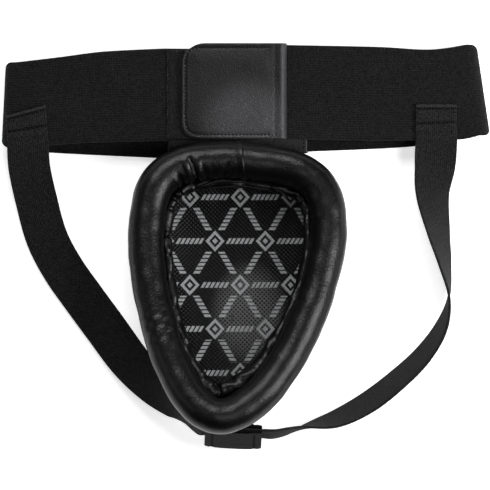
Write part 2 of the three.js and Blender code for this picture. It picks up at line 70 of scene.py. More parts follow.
RIM_LENGTH = 199
RIM_TIP_X = -5.5
RIM_HALF = 73
RIM_WIDEST = 61
ROLL_RADIUS = 12.3
RIM_RISE = 5
CUP_PITCH = radians(-12)
CUP_YAW = radians(-3)
CUP_TOP = (-1, 65.2)
BOWL_DEPTH = 17
BOWL_CENTRE = 112
BOWL_EDGE_Z = -ROLL_RADIUS - 0.4
LINING_EDGE = 20
COVER_DEPTHS = (8.9, 10.3)  # the outer cover's two faces, below the lining's face

PANEL_CORNER = (-51.3, 54.6, 0)  # lowest left corner of the front panel
TAB_WIDTH = 38
TAB_LENGTH = 38
TAB_ROOT = 7.9
TAB_ROOT_Z = -15.5
TAB_SLOPE = radians(84)
TAB_SLOT = 2.4
TAB_SHIFT = 4.3
STRAP_INSET = 1.5


# ---- Places ----
def box_mm(node):
    """The lowest and highest corners of a CAD node, in millimetres."""
    low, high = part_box(node)
    return np.array(low) / MM, np.array(high) / MM


ORIGIN = box_mm("front_panel_outer")[0] - np.array(PANEL_CORNER)  # the design's own zero point


def node_mesh(node):
    """A CAD node's mesh and its vertices in millimetres."""
    mesh = frame["nodes"][node].data
    return mesh, np.array([v.co for v in mesh.vertices]) / MM


def joint(name):
    return next(j for j in frame["joints"] if j["name"] == name)


def turn_x(angle):
    c, s = cos(angle), sin(angle)
    return np.array([[1, 0, 0], [0, c, -s], [0, s, c]])


def turn_z(angle):
    c, s = cos(angle), sin(angle)
    return np.array([[c, -s, 0], [s, c, 0], [0, 0, 1]])


# ---- Curves ----
def lengths(points):
    return np.concatenate([[0], np.cumsum(np.linalg.norm(np.diff(points, axis=0), axis=1))])


def resample(points, count, closed=False):
    """Points an even distance apart along a polyline."""
    points = np.asarray(points, float)
    if closed:
        points = np.vstack([points, points[:1]])
    reach = lengths(points)
    at = np.linspace(0, reach[-1], count + closed)[:count]
    return np.stack([np.interp(at, reach, points[:, k]) for k in range(points.shape[1])], axis=1)


def unit(v):
    return v / np.maximum(np.linalg.norm(v, axis=-1, keepdims=True), 1e-9)


def tangents(points, closed=False):
    return unit(np.roll(points, -1, axis=0) - np.roll(points, 1, axis=0) if closed else np.gradient(points, axis=0))


def smooth(x, low, high):
    t = np.clip((x - low) / (high - low), 0, 1)
    return t * t * (3 - 2 * t)


def bump_at(x, centre, half_width):
    """A smooth bump of height 1 at centre, gone at half_width."""
    t = np.clip(np.abs(x - centre) / half_width, 0, 1)
    return (1 - t * t) ** 2


def quarter_round(depth, reach, least=0):
    """The height of a rounded edge, from 0 at its foot to 1 at the reach."""
    return np.sqrt(np.clip(1 - (1 - np.clip(depth / reach, 0, 1)) ** 2, least, 1))


def eased(count):
    """Numbers from 0 to just under 1, closer together near 0."""
    return 1 - np.cos(np.linspace(0, pi / 2, count))[:-1]


# ---- Mesh making ----
def add_to_scene(name, data, place=(0, 0, 0)):
    obj = bpy.data.objects.new(name, data)
    bpy.context.collection.objects.link(obj)
    obj.location = place
    return obj


def fit(obj, slot, body=None, *nodes):
    """Attaches a piece to the body that it rides on, and hides the CAD nodes that it stands for. slot, its material
    slot, is not used.
    """
    if body:
        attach(obj, body)
    if nodes:
        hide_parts(*nodes)
    return obj


def make_object(name, verts_mm, faces, material, uv_mm=None, rounded=True):
    """A mesh object from vertices in millimetres in the row frame."""
    mesh = bpy.data.meshes.new(name)
    mesh.from_pydata((np.asarray(verts_mm) * MM).tolist(), [], [list(f) for f in faces])
    mesh.materials.append(material)
    if uv_mm is not None:
        layer = mesh.uv_layers.new(name="metres")
        corner = np.empty(len(mesh.loops), int)
        mesh.loops.foreach_get("vertex_index", corner)
        layer.data.foreach_set("uv", (np.asarray(uv_mm)[corner] * MM).ravel())
    mesh.polygons.foreach_set("use_smooth", [rounded] * len(mesh.polygons))
    mesh.validate()
    mesh.update()
    return add_to_scene(name, mesh)


def tube_faces(rings, count, looped=False, start=0):
    """Quads that skin rings of points, with one n-gon over each open end."""
    faces = []
    for i in range(rings if looped else rings - 1):
        a, b = start + i * count, start + ((i + 1) % rings) * count
        for j in range(count):
            k = (j + 1) % count
            faces.append((a + j, a + k, b + k, b + j))
    if not looped:
        last = start + (rings - 1) * count
        faces.append(tuple(start + j for j in reversed(range(count))))
        faces.append(tuple(last + j for j in range(count)))
    return faces


def strands(name, verts, rings, sides, material, flip=True, rounded=True):
    """Many short closed tubes as one object, all with the same number of rings and sides."""
    faces = [f for start in range(0, len(verts), rings * sides) for f in tube_faces(rings, sides, start=start)]
    return make_object(name, verts, [f[::-1] for f in faces] if flip else faces, material, rounded=rounded)


def ring_angles(sides):
    return np.linspace(0, FULL_TURN, sides, endpoint=False)


def loft(name, rings, material, looped=False, uv=None):
    """A closed solid skinned over an (n, k, 3) array of rings, facing outwards."""
    rings = np.asarray(rings, float)
    n, k = rings.shape[:2]
    verts = rings.reshape(-1, 3)
    faces = tube_faces(n, k, looped)
    sample = faces[: n * k // 2]
    corners = np.array([verts[list(f[:3])] for f in sample])
    normals = np.cross(corners[:, 1] - corners[:, 0], corners[:, 2] - corners[:, 0])
    outward = corners.mean(axis=1) - rings.mean(axis=1)[[f[0] // k for f in sample]]
    if np.sum(normals * outward) < 0:
        faces = [f[::-1] for f in faces]
    return make_object(name, verts, faces, material, None if uv is None else uv.reshape(-1, 2))


def webbing(name, edge_a, edge_b, normal, thickness, material, across=16, relief=None, round_ends=False):
    """A flat strip between two long edges, with rounded edges. relief adds height to its upper side."""
    edge_a, edge_b, normal = (np.asarray(x, float) for x in (edge_a, edge_b, normal))
    half = thickness / 2
    width = np.linalg.norm(edge_b - edge_a, axis=1)[:, None]
    along = lengths((edge_a + edge_b) / 2)[:, None]
    near = half * eased(5) / width
    inner = half / width + np.linspace(0, 1, across) * (1 - 2 * half / width)
    share = np.hstack([near, inner, 1 - near[:, ::-1]])
    depth = np.minimum(share, 1 - share) * width
    rise = half * quarter_round(depth, half)
    if round_ends:
        rise *= quarter_round(np.minimum(along, along[-1] - along), half, least=0.02)
    flat = edge_a[:, None] * (1 - share[..., None]) + edge_b[:, None] * share[..., None]
    upper_rise = rise if relief is None else rise + relief(flat, depth)
    upper = flat + normal[:, None] * upper_rise[..., None]
    lower = flat - normal[:, None] * rise[..., None]
    uv = np.dstack([along + 0 * share, share * width])
    rings, uv_rings = (np.hstack([top, under[:, ::-1][:, 1:-1]]) for top, under in ((upper, lower), (uv, uv)))
    return loft(name, rings, material, uv=uv_rings)


def stitches(name, path, body, *nodes, up=UP, pitch=2.6, fill=0.74, radius=0.28, seed=1):
    """A row of sewn stitches along a path, each a short thread that dips into the surface at its ends."""
    rng = random.Random(seed)
    path = np.asarray(path, float)
    up = np.broadcast_to(np.asarray(up, float), path.shape)
    reach = lengths(path)
    count = max(1, int(reach[-1] / pitch))
    rings, sides = 6, 6
    lift, slant = 0.22, 0.12  # how far a stitch bulges, and its lean for each mm of pitch
    verts = []

    def at(s, values):
        return np.array([np.interp(s, reach, values[:, k]) for k in range(3)])

    for i in range(count):
        middle = (i + 0.5) * reach[-1] / count
        half = pitch * fill / 2 * rng.uniform(0.92, 1.06)
        skew = slant * rng.uniform(0.6, 1.4) * pitch
        for t in np.linspace(0, 1, rings):
            from_middle = 2 * t - 1
            s = middle + from_middle * half
            n = unit(at(s, up))
            ahead = unit(at(min(s + 0.2, reach[-1]), path) - at(max(s - 0.2, 0), path))
            side = np.cross(n, ahead)
            rise = lift * sin(pi * t) - radius * 0.9 * abs(from_middle) ** 3
            centre = at(s, path) + n * rise + side * skew * (t - 0.5)
            thick = radius * (1 - 0.55 * abs(from_middle) ** 4)
            verts += [centre + side * thick * cos(a) + n * thick * sin(a) for a in ring_angles(sides)]
    return fit(strands(name, verts, rings, sides, THREAD), "thread", body, *nodes)


# ---- Shader arithmetic ----
def feed(tree, node, inputs):
    """Sets a node's inputs. A field or a socket is linked, and anything else is a plain value."""
    for key, value in inputs.items():
        value = value.socket if isinstance(value, Field) else value
        if isinstance(value, bpy.types.NodeSocket):
            tree.links.new(value, node.inputs[key])
        else:
            node.inputs[key].default_value = value


def new_node(tree, kind, inputs, **settings):
    node = tree.nodes.new("ShaderNode" + kind)
    for key, value in settings.items():
        setattr(node, key, value)
    feed(tree, node, inputs)
    return node


def new_field(tree, kind, output, inputs, **settings):
    return Field(tree, new_node(tree, kind, inputs, **settings).outputs[output])


class Field:
    """A number that varies over a surface, worked out by nodes."""

    def __init__(self, tree, socket):
        self.tree, self.socket = tree, socket

    def apply(self, operation, *others):
        return new_field(self.tree, "Math", 0, dict(enumerate((self, *others))), operation=operation)

    __add__ = partialmethod(apply, "ADD")
    __sub__ = partialmethod(apply, "SUBTRACT")
    __mul__ = partialmethod(apply, "MULTIPLY")
    __truediv__ = partialmethod(apply, "DIVIDE")
    abs = partialmethod(apply, "ABSOLUTE")
    sin = partialmethod(apply, "SINE")
    max = partialmethod(apply, "MAXIMUM")
    min = partialmethod(apply, "MINIMUM")

    def centred(self):
        """The part after the nearest whole number, from -0.5 to 0.5."""
        return (self + 0.5).apply("FRACT") - 0.5

    def ranged(self, inputs, **settings):
        return new_field(self.tree, "MapRange", "Result", {"Value": self, **inputs}, **settings)

    def soft_below(self, limit, edge):
        """1 below the limit and 0 above it, with a soft edge."""
        inputs = {"From Min": limit - edge, "From Max": limit + edge, "To Min": 1, "To Max": 0}
        return self.ranged(inputs, interpolation_type="SMOOTHSTEP")


def spot(limit, edge, *terms):
    """1 at a place and 0 away from it. Each term is a coordinate, the place's value of it and a reach, in mm."""
    total = None
    for axis, place, reach in terms:
        off = (axis - place * MM) / (reach * MM)
        total = off * off if total is None else total + off * off
    return total.soft_below(limit, edge)


class Finish:
    """A node material: its shader, and the textures and mixes that feed it."""

    def __init__(self, name, roughness, specular, sheen=0.0):
        self.material = bpy.data.materials.new(name)
        self.material.use_nodes = True
        self.tree = self.material.node_tree
        self.shader = self.tree.nodes["Principled BSDF"]
        feed(self.tree, self.shader, {
            "Roughness": roughness, "Specular IOR Level": specular, "Sheen Weight": sheen, "Sheen Roughness": 0.4,
        })
        self.spaces = new_node(self.tree, "TexCoord", {}).outputs

    def axes(self, space="Object"):
        split = new_node(self.tree, "SeparateXYZ", {0: self.spaces[space]})
        return [Field(self.tree, split.outputs[k]) for k in range(3)]

    def texture(self, kind, output, size_mm, inputs, **settings):
        inputs = {"Vector": self.spaces["Object"], "Scale": 1 / (size_mm * MM), **inputs}
        return new_field(self.tree, kind, output, inputs, **settings)

    def noise(self, size_mm, detail=2.0, roughness=0.5):
        return self.texture("TexNoise", 0, size_mm, {"Detail": detail, "Roughness": roughness})

    def cells(self, size_mm):
        return self.texture("TexVoronoi", "Distance", size_mm, {}, feature="SMOOTH_F1")

    def mix(self, amount, dark, light):
        """A colour from dark where amount is 0 to light where it is 1. Each is a colour or another mix."""
        dark, light = ((*c, 1) if isinstance(c, tuple) else c for c in (dark, light))
        return new_node(self.tree, "Mix", {"Factor": amount, 6: dark, 7: light}, data_type="RGBA").outputs[2]

    def dress(self, colour, rough, *layers):
        """The material, from (amount, dark, light) for its colour, (amount, low, high) for its roughness, and
        bump layers of (height, depth in mm)."""
        amount, low, high = rough
        gloss = amount.ranged({"To Min": low, "To Max": high})
        normal = {}
        for height, depth_mm in layers:
            inputs = {"Strength": 1, "Distance": depth_mm * MM, "Height": height, **normal}
            normal = {"Normal": new_node(self.tree, "Bump", inputs).outputs["Normal"]}
        feed(self.tree, self.shader, {"Base Color": self.mix(*colour), "Roughness": gloss, **normal})
        return self.material


# ---- Materials ----
def grey(level, blue=1.0):
    return (level, level, level * blue)


def leather_finish(name, rough, grain_depth, crease_depth, level, specular, grain_mm=1.25, painted_highlight=None):
    """Black synthetic leather with an embossed pebble grain. painted_highlight is the x, y and reach of a patch
    that is smoother and painted lighter as a highlight, and the x of a fold that is painted lighter along its
    length as a highlight."""
    finish = Finish(name, rough, specular)
    grain, pores = finish.cells(grain_mm), finish.cells(0.5)
    creases, mottle = finish.noise(5.0, 4.0, 0.6), finish.noise(14.0, 3.0)
    tone, gloss, peak = mottle * 0.5 + grain * 0.5, creases * 0.5 + grain * 0.6, 1.5
    # Painted highlight: the base colour is painted lighter in a patch and along a fold; the patch is also smoother.
    if painted_highlight:
        place_x, place_y, reach, fold_x = painted_highlight
        x, y, _ = finish.axes()
        patch = spot(0.75, 0.75, (x, place_x, reach), (y, place_y, reach))
        fold = spot(0.6, 0.6, (x, fold_x, 2.4))
        tone = tone * 0.1 + (patch * (grain * 1.4 + 0.1)).max(fold * 0.85)
        gloss, peak = gloss - patch * 0.4, 11
    return finish.dress(
        (tone.min(1.0), grey(level * 0.5), grey(level * peak, 1.08)), (gloss.max(0.0), rough - 0.1, rough + 0.12),
        (creases, crease_depth), (grain, grain_depth), (pores, grain_depth * 0.3),
    )


def elastic_finish(name, rib_mm, cross_mm, slant, shade, fold_highlight_at=None):
    """Knitted elastic: ribs along the strip, crossed by the weft. slant turns the crossing into a twill, and
    fold_highlight_at is how far along the strip it is folded over, where a painted highlight runs along the fold."""
    finish = Finish(name, 0.9, specular=0.16, sheen=0.02)
    along, across, _ = finish.axes("UV")
    rib = (across * (FULL_TURN / MM / rib_mm)).sin()
    weft = ((along + across * slant) * (FULL_TURN / MM / cross_mm)).sin()
    fuzz = finish.noise(1.3, 3.0, 0.75)
    knit = (rib * 0.6 + weft * 0.4) * 0.5 + 0.5
    tone = knit * 0.4 + finish.noise(26.0, 3.0) * 0.3 + (fuzz - 0.5) * 3.2 + 0.1
    # Painted highlight: a lighter line of colour along the fold.
    if fold_highlight_at is not None:
        tone = tone + spot(0.7, 0.6, (along, fold_highlight_at, 1.1)) * 1.1
    return finish.dress(
        (tone.max(0.0).min(1.0), grey(0.0008 * shade), grey(0.0125 * shade, 1.08)), (fuzz, 0.74, 0.98),
        (rib, 0.16), (weft, 0.12), (fuzz, 0.42),
    )


def lining_finish():
    """Black lining embossed with a small check, and printed with grey diamonds joined by bars."""
    finish = Finish("lining_print", 0.5, specular=0.07)
    x, y, _ = finish.axes()
    wave = FULL_TURN / (2.9 * MM)
    dimple = (x * wave).sin() * (y * wave).sin()
    tick = dimple.soft_below(-0.3, 0.3)

    pitch, row, node_x, node_y = LATTICE_MM
    t = (y - node_y * MM) / (row * MM)
    s = (x - node_x * MM) / (pitch * MM) - t * 0.5
    # The lattice's lines run three ways: level, and slanted by half a pitch for each row.
    slanted, spacing = hypot(row, pitch / 2), pitch * sin(atan2(row, pitch / 2))
    ink = None
    for across, along, apart, link in ((t, s, row, pitch), (s, t, spacing, slanted), (s + t, t, spacing, slanted)):
        off_line = across.centred().abs() * apart
        from_node = (along.centred().abs() * -1 + 0.5) * link
        bars = (along * (link / 3.04)).centred().abs().soft_below(0.34, 0.05)
        family = off_line.soft_below(1.9, 0.2) * from_node.soft_below(8.6, 0.25) * bars
        ink = family if ink is None else ink.max(family)
    dx = (s + t * 0.5 - (t + 0.5).apply("FLOOR") * 0.5).centred().abs() * pitch
    diamond = dx / 6.4 + t.centred().abs() * row / 7.0
    ring = diamond.soft_below(1.0, 0.05) * (diamond.soft_below(0.62, 0.05) * -1 + 1)
    ink = ink.max(ring).max(diamond.soft_below(0.3, 0.06))

    wear = finish.noise(1.0, 3.0)
    # Painted highlight: the cloth is painted lighter in a round zone low in the bowl, and that zone is also
    # smoother.
    painted_sheen_zone = spot(0.55, 0.55, (x, 2, 27), (y, -45, 36))
    cloth = finish.mix(painted_sheen_zone, (0.0035, 0.0035, 0.004), (0.075, 0.075, 0.077))
    dimpled = finish.mix(tick, cloth, (0.0006, 0.0006, 0.0007))
    return finish.dress(
        (ink * (wear * 0.5 + 0.6), dimpled, (0.25, 0.255, 0.26)),
        ((tick * 0.7 + ink * 0.3 - painted_sheen_zone * 0.3).max(0.0), 0.3, 0.6),
        (finish.noise(9.0, 2.0), 0.2), (dimple, 0.14), (wear, 0.03),
    )


def thread_finish():
    """Spun black thread."""
    finish = Finish("sewing_thread", 0.7, specular=0.12)
    twist = finish.noise(0.35, 2.0)
    return finish.dress((twist, grey(0.001), (0.006, 0.006, 0.0065)), (twist, 0.6, 0.8), (twist, 0.08))


def pile_finish():
    """Brushed loop pile."""
    finish = Finish("loop_pile", 1.0, specular=0.1, sheen=0.25)
    fuzz, tufts = finish.noise(0.55, 4.0, 0.7), finish.cells(1.3)
    tone = fuzz * 0.7 + tufts * 0.3
    return finish.dress((tone, grey(0.002), grey(0.02, 1.05)), (fuzz, 0.85, 1.0), (tufts, 0.4), (fuzz, 0.5))


def moulded_finish(name, level, roughness):
    """Matte moulded plastic or foam skin, with a fine spark-eroded texture."""
    finish = Finish(name, roughness, specular=0.4)
    texture, flow = finish.noise(0.8, 3.0), finish.noise(30.0, 2.0)
    tone = texture * 0.4 + flow * 0.6
    rough = (texture, roughness - 0.08, roughness + 0.1)
    return finish.dress((tone, grey(level * 0.6), grey(level * 1.4)), rough, (texture, 0.06))


LATTICE_MM = (33.6, 29.3, -3.7, 32.4)  # the print's pitch and row height, and one crossing's x and y

# The tab's leather carries a painted highlight towards its lower right and along its fold over the elastic's end.
LEATHER_TAB = leather_finish("leather_pebbled", 0.38, 0.3, 0.03, 0.004, 0.26, 0.75, (2, 80, 30, 25.6))
LEATHER_FLAT = leather_finish("leather_flat", 0.38, 0.16, 0.15, 0.003, 0.3)
LEATHER_ROLL = leather_finish("leather_roll", 0.34, 0.13, 0.16, 0.0018, 0.25)
LEATHER_DULL = leather_finish("leather_dull", 0.5, 0.2, 0.2, 0.0035, 0.014)
BAND_ELASTIC = elastic_finish("waistband_elastic", 1.6, 1.05, 0.0, 1.0)
STRAP_ELASTIC = elastic_finish("strap_elastic", 1.4, 1.7, 1.0, 1.4)
# The hem is the strap's own webbing, painted lighter overall than STRAP_ELASTIC as painted light, with a painted
# highlight along its fold.
HEM_ELASTIC_LIT = elastic_finish("hem_elastic_painted_light", 1.4, 1.7, 1.0, 1.75, fold_highlight_at=16.4)
LINING = lining_finish()
THREAD = thread_finish()
PILE = pile_finish()
HOOK_PLASTIC = moulded_finish("hook_plastic", 0.008, 0.55)
SHELL_PLASTIC = moulded_finish("shell_plastic", 0.008, 0.42)
FOAM = moulded_finish("foam_skin", 0.03, 0.9)


# ---- The cup's own frame ----
def bezier(*corners, count=200):
    t = np.linspace(0, 1, count, endpoint=False)[:, None]
    p0, p1, p2, p3 = np.array(corners, float)
    return p0 * (1 - t) ** 3 + 3 * p1 * t * (1 - t) ** 2 + 3 * p2 * t * t * (1 - t) + p3 * t**3


def rim_outline(count):
    """Outer outline of the rim in the cup's plane, clockwise from the middle of its top edge."""
    top_flat, shoulder, flank_right, flank_left, tip_flat = 54, 45, 43, 37, 45
    w, y, tip, end = RIM_HALF, -RIM_WIDEST, RIM_TIP_X, -RIM_LENGTH
    return resample(np.vstack([
        bezier((0, 0), (top_flat, 0), (w, y + shoulder), (w, y)),
        bezier((w, y), (w, y - flank_right), (tip + tip_flat, end), (tip, end)),
        bezier((tip, end), (tip - tip_flat, end), (-w, y - flank_left), (-w, y)),
        bezier((-w, y), (-w, y + shoulder), (-top_flat, 0), (0, 0)),
    ]), count, closed=True)


def inward(outline):
    along = tangents(outline, closed=True)
    return np.stack([along[:, 1], -along[:, 0]], axis=1)


def rim_rise(y):
    return RIM_RISE * ((-y - 80) / 110) ** 2


def raised(flat, z):
    """Places in the cup's plane, given a height above the plane's own curve."""
    return np.concatenate([flat, (z + rim_rise(flat[..., 1]))[..., None]], axis=-1)


CUP_TURN = turn_z(CUP_YAW) @ turn_x(CUP_PITCH)


def roll_points(outline, radius, angle):
    """Points of the roll's section: radius and angle are (n, k), with angle 0 inward and 90 degrees up."""
    flat = outline[:, None] + inward(outline)[:, None] * (ROLL_RADIUS + radius * np.cos(angle))[..., None]
    return raised(flat, radius * np.sin(angle))


def cup_height():
    """How high the cup's plane lies, from the CAD rim's highest point."""
    outline = rim_outline(400)
    angle = np.tile(np.linspace(0, FULL_TURN, 48), (400, 1))
    turned = roll_points(outline, np.full_like(angle, ROLL_RADIUS), angle) @ CUP_TURN.T
    return box_mm("rim_cover")[1][2] - turned[..., 2].max()


CUP_PLACE = np.array([CUP_TOP[0] + ORIGIN[0], CUP_TOP[1] + ORIGIN[1], cup_height()])


def from_cup(points):
    """Points in the cup's own frame, put into the row frame."""
    return np.asarray(points) @ CUP_TURN.T + CUP_PLACE


class Rim:
    """The rim's outline, its length, and each point's share of the way round and place in the row frame."""

    def __init__(self, outline):
        self.outline, self.inward = outline, inward(outline)
        self.total = lengths(np.vstack([outline, outline[:1]]))[-1]
        self.share = np.arange(len(outline)) / len(outline)
        self.x, self.y, _ = from_cup(raised(outline, 0)).T

    def share_at(self, x, y):
        """The share of the way round that is nearest to a place in the row frame."""
        return int(np.argmin(np.hypot(self.x - x, self.y - y))) / len(self.x)

    def strength_at(self, share, right_of, below, weak):
        """How hard the leather is gathered: full along the top and the left side, and weak elsewhere."""
        k = int(share * len(self.x)) % len(self.x)
        return 1.0 if self.x[k] < right_of and self.y[k] > below else weak

    def distance(self, share, centre):
        """Distance along the rim from a place, in millimetres, the short way round."""
        return ((share - centre + 0.5) % 1 - 0.5) * self.total


# ---- The cup ----
# Single deep creases: x and y in the row frame, depth, half width, from angle, to angle, lean.
CREASES = (
    (-36, 66, 1.9, 2.4, -45, 92, 1.5), (-20, 68, 0.8, 2.0, -30, 70, -5.0),
    (-15, 68, 0.6, 1.6, -20, 55, -6.0), (-27, 67, 0.8, 2.2, -10, 60, 3.0),
    (-49, 60, 1.5, 3.2, -40, 50, 2.0), (-58, 52, 0.7, 2.2, -40, 30, -2.0),
    (-70, -48, 0.3, 3.6, 40, 150, 2.0), (-68, -55, 0.4, 3.8, 40, 150, 2.4),
    (-65, -63, 0.28, 3.4, 40, 140, 3.0), (58, 48, 0.4, 2.6, -40, 50, 2.0),
    (66, 20, 0.35, 3.0, -40, 60, -2.0), (60, -50, 0.35, 2.6, -40, 60, 2.0),
)


def build_rim(rim):
    """The padded roll: a foam bumper in gathered leather, with the creases that the leather takes."""
    rng = np.random.default_rng(7)
    share = rim.share[:, None]
    angle = np.tile(ring_angles(64), (len(share), 1))
    signed = (np.degrees(angle) + 180) % 360 - 180  # 0 inward, 90 up, negative below
    radius = np.full_like(angle, ROLL_RADIUS - 0.25)

    # The filling is a little uneven.
    for cycles, size in ((3, 0.14), (5, 0.14), (9, 0.16), (14, 0.13), (23, 0.1), (37, 0.05)):
        phase = rng.uniform(0, FULL_TURN, 2)
        radius += size * np.sin(FULL_TURN * cycles * share + phase[0] + 1.5 * np.sin(angle + phase[1]))

    # Gathers where the inner edge is drawn in to the seam.
    at = 0.0
    while at < rim.total:
        gap = rng.uniform(5.0, 10.5)
        place = at / rim.total
        reach = rng.uniform(12, 50)
        depth = rim.strength_at(place, 5, -75, 0.4) * rng.uniform(0.25, 0.85)
        lean = rng.uniform(-0.05, 0.05)
        d = rim.distance(share + lean * signed / 90 * 0.1, place)
        radius -= depth * bump_at(d, 0, rng.uniform(1.6, 3.0)) * (1 - smooth(signed, -25, reach)) * (signed > -100)
        at += gap

    for x, y, depth, half_width, low, high, lean in CREASES:
        d = rim.distance(share, rim.share_at(x, y)) + lean * (signed - low) / 60
        span = depth * smooth(signed, low - 12, low + 12) * (1 - smooth(signed, high - 22, high + 16))
        radius -= bump_at(d, 0, half_width) * span
        radius += 0.35 * bump_at(np.abs(d) - 2.1 * half_width, 0, 1.6 * half_width) * span

    # The leather is pulled flat where it is sewn down, below the roll's inner side.
    radius -= 1.1 * bump_at(signed, -72, 34)
    roll = loft("rim_roll", from_cup(roll_points(rim.outline, radius, angle)), LEATHER_ROLL, looped=True)
    fit(roll, "leather", "cup", "rim_cover")


def build_splice():
    """The roll's cover is lapped over itself at the middle of the top edge, its cut edge on the slant."""
    count, steps, sides = 3000, 20, 44
    slant = 4.2  # how far the lap's edge leans along the rim, from the roll's inner side to its outer
    begin, reach = 1.6, 8  # where the cut edge lies along the rim, and how far the lap runs before it is level
    sunk, thick = 0.8, 1.5  # how deep the lap starts below the roll's skin, and its cut edge
    rim = Rim(rim_outline(count))
    lap = np.linspace(1, 0, steps)[:, None]
    angle = np.linspace(-28, 236, sides)[None]
    edge = 1 - (1 - np.minimum(lap / 0.12, 1)) ** 2
    outer = ROLL_RADIUS - sunk + thick * edge * (1 - smooth(lap, 0.15, 1.0)) + 0 * angle
    radius = np.hstack([outer, np.full_like(outer, ROLL_RADIUS - 1.4)])
    around = np.hstack([angle, angle[:, ::-1]])
    along = begin - reach * lap - slant * (around - 100) / 130
    index = np.round(along / rim.total * count).astype(int) % count
    inset = ROLL_RADIUS + radius * np.cos(np.radians(around))
    flat = rim.outline[index] + rim.inward[index] * inset[..., None]
    rings = from_cup(raised(flat, radius * np.sin(np.radians(around))))
    fit(loft("rim_cover_lap", rings, LEATHER_ROLL), "leather", "cup", "rim_cover_splice")


def build_welt(rim):
    """The soft welt inside the roll, drawn into puffs where it is gathered."""
    rng = np.random.default_rng(11)
    seat = radians(-37)  # where on the roll's section the welt lies
    share = rim.share
    pinch = np.zeros(len(share))
    at = 3.0
    while at < rim.total:
        place = at / rim.total
        depth = rim.strength_at(place, 10, -80, 0.35) * rng.uniform(0.3, 1)
        pinch = np.maximum(pinch, depth * bump_at(rim.distance(share, place), 0, rng.uniform(3.2, 6.0)))
        at += rng.uniform(12, 25)
    angle = ring_angles(20)
    sway = 0.5 * np.sin(FULL_TURN * 7 * share) + 0.4 * np.sin(FULL_TURN * 17 * share + 1)
    # The fold of leather inside the roll is widest round the tip and up the right flank.
    x, y = rim.x, rim.y
    tip = smooth(-y, 85, 118)
    grown = np.maximum(smooth(-y, 25, 95) * smooth(x, -45, 10), 0.35 + 0.2 * smooth(-x, 20, 50))
    pinch = pinch * (1 - 0.55 * smooth(grown, 0.55, 1))
    middle_radius = ROLL_RADIUS + 2.9 + 3.0 * grown + 3.0 * tip + 3.2 * smooth(-y, 110, 124)
    thick = (2.75 + 2.3 * grown + 2.2 * tip) * (1 - 0.36 * pinch)
    r = thick[:, None] * (1 + 0.06 * np.sin(3 * angle[None] + 5 * np.sin(FULL_TURN * 7 * share)[:, None]))
    lie = seat + np.radians(sway * 3)
    across = (ROLL_RADIUS + middle_radius * np.cos(lie))[:, None] + r * np.cos(angle)
    up = (middle_radius * np.sin(lie) - 0.5 * pinch)[:, None] + r * np.sin(angle)
    flat = rim.outline[:, None] + rim.inward[:, None] * across[..., None]
    welt = loft("rim_gathered_welt", from_cup(raised(flat, up)), LEATHER_ROLL, looped=True)
    fit(welt, "leather", "cup", "rim_welt")


# Each fold: x at both ends in the row frame, inset from the rim's outline at both ends, height, half thickness.
LINING_FOLDS = (
    (-36, -4, 27.0, 23.5, -6.3, 0.9), (-30, 22, 28.6, 27.4, -7.4, 0.7),
    (-14, 12, 24.0, 26.4, -6.1, 0.7), (24, 40, 26.5, 29.5, -7.2, 0.9),
)


def build_folds(rim):
    """Loose folds of the lining's edge, lying on the welt along the top."""
    verts = []
    count, rings, sides = 3000, 40, 10
    fine = Rim(resample(rim.outline, count, closed=True))
    for start, end, near, far, up, size in LINING_FOLDS:
        begin, stop = (share - (share > 0.5) for share in (fine.share_at(x, CUP_PLACE[1]) for x in (start, end)))
        for t in np.linspace(0, 1, rings):
            k = int((begin + (stop - begin) * t) * count) % count
            inset = near + (far - near) * t + 0.5 * sin(9 * t)
            thick = size * sin(pi * (0.04 + 0.92 * t)) ** 0.6
            for a in ring_angles(sides):
                flat = fine.outline[k] + fine.inward[k] * (inset + 1.5 * thick * cos(a))
                verts.append(raised(flat, up + thick * sin(a)))
    fit(strands("lining_edge_folds", from_cup(verts), rings, sides, LEATHER_ROLL), "leather", "cup")


def bowl_surface(outline, depth, shares):
    """A face of the bowl, from its edge in to the middle, at a depth below the lining's face."""
    edge = outline + inward(outline) * (LINING_EDGE - depth)
    share = shares[:, None]
    x = edge[None, :, 0] * share
    y = -BOWL_CENTRE + (edge[None, :, 1] + BOWL_CENTRE) * share
    drop = (BOWL_DEPTH + depth) * (1 - share**2.4) ** (1 / 1.8)
    return raised(np.dstack([x, y]), BOWL_EDGE_Z - drop)


def build_bowl_layer(name, near, far, material, count, relief):
    """A layer of the cup between two depths below the lining's face."""
    outline = rim_outline(360)
    shares = 1 - np.linspace(0, 1, count) ** 1.7 * 0.985  # rings closer together near the steep edge
    face, back = (bowl_surface(outline, depth, shares) for depth in (near, far))
    relief(face, back, shares, np.arange(len(outline)) / len(outline))
    return loft(name, from_cup(np.concatenate([face[::-1], back])), material)


def lining_relief(face, back, shares, turn):
    """The lining buckles a little towards its edge."""
    rng = np.random.default_rng(3)
    wave = sum(
        size * np.sin(FULL_TURN * cycles * turn + rng.uniform(0, 6.28))
        for cycles, size in ((11, 0.16), (19, 0.14), (31, 0.1))
    )
    near_edge = smooth(shares, 0.72, 0.95) * (1 - smooth(shares, 0.985, 1.0))
    face[..., 2] += near_edge[:, None] * wave[None]


def cover_relief(face, back, shares, turn):
    """The outer cover puckers where it is turned in under the roll."""
    rng = np.random.default_rng(5)
    seam_length = 520
    pucker = np.zeros(len(turn))
    at = 0.0
    while at < 1:
        d = ((turn - at + 0.5) % 1 - 0.5) * seam_length
        pucker += rng.uniform(0.2, 0.6) * bump_at(d, 0, rng.uniform(2.5, 4.5))
        at += rng.uniform(0.018, 0.035)
    near_edge = smooth(shares, 0.9, 0.99) * (1 - 0.6 * smooth(shares, 0.995, 1.0))
    outward = unit(back[..., :2] - np.array([0, -BOWL_CENTRE]))
    back[..., :2] -= outward * (near_edge[:, None] * pucker[None])[..., None]


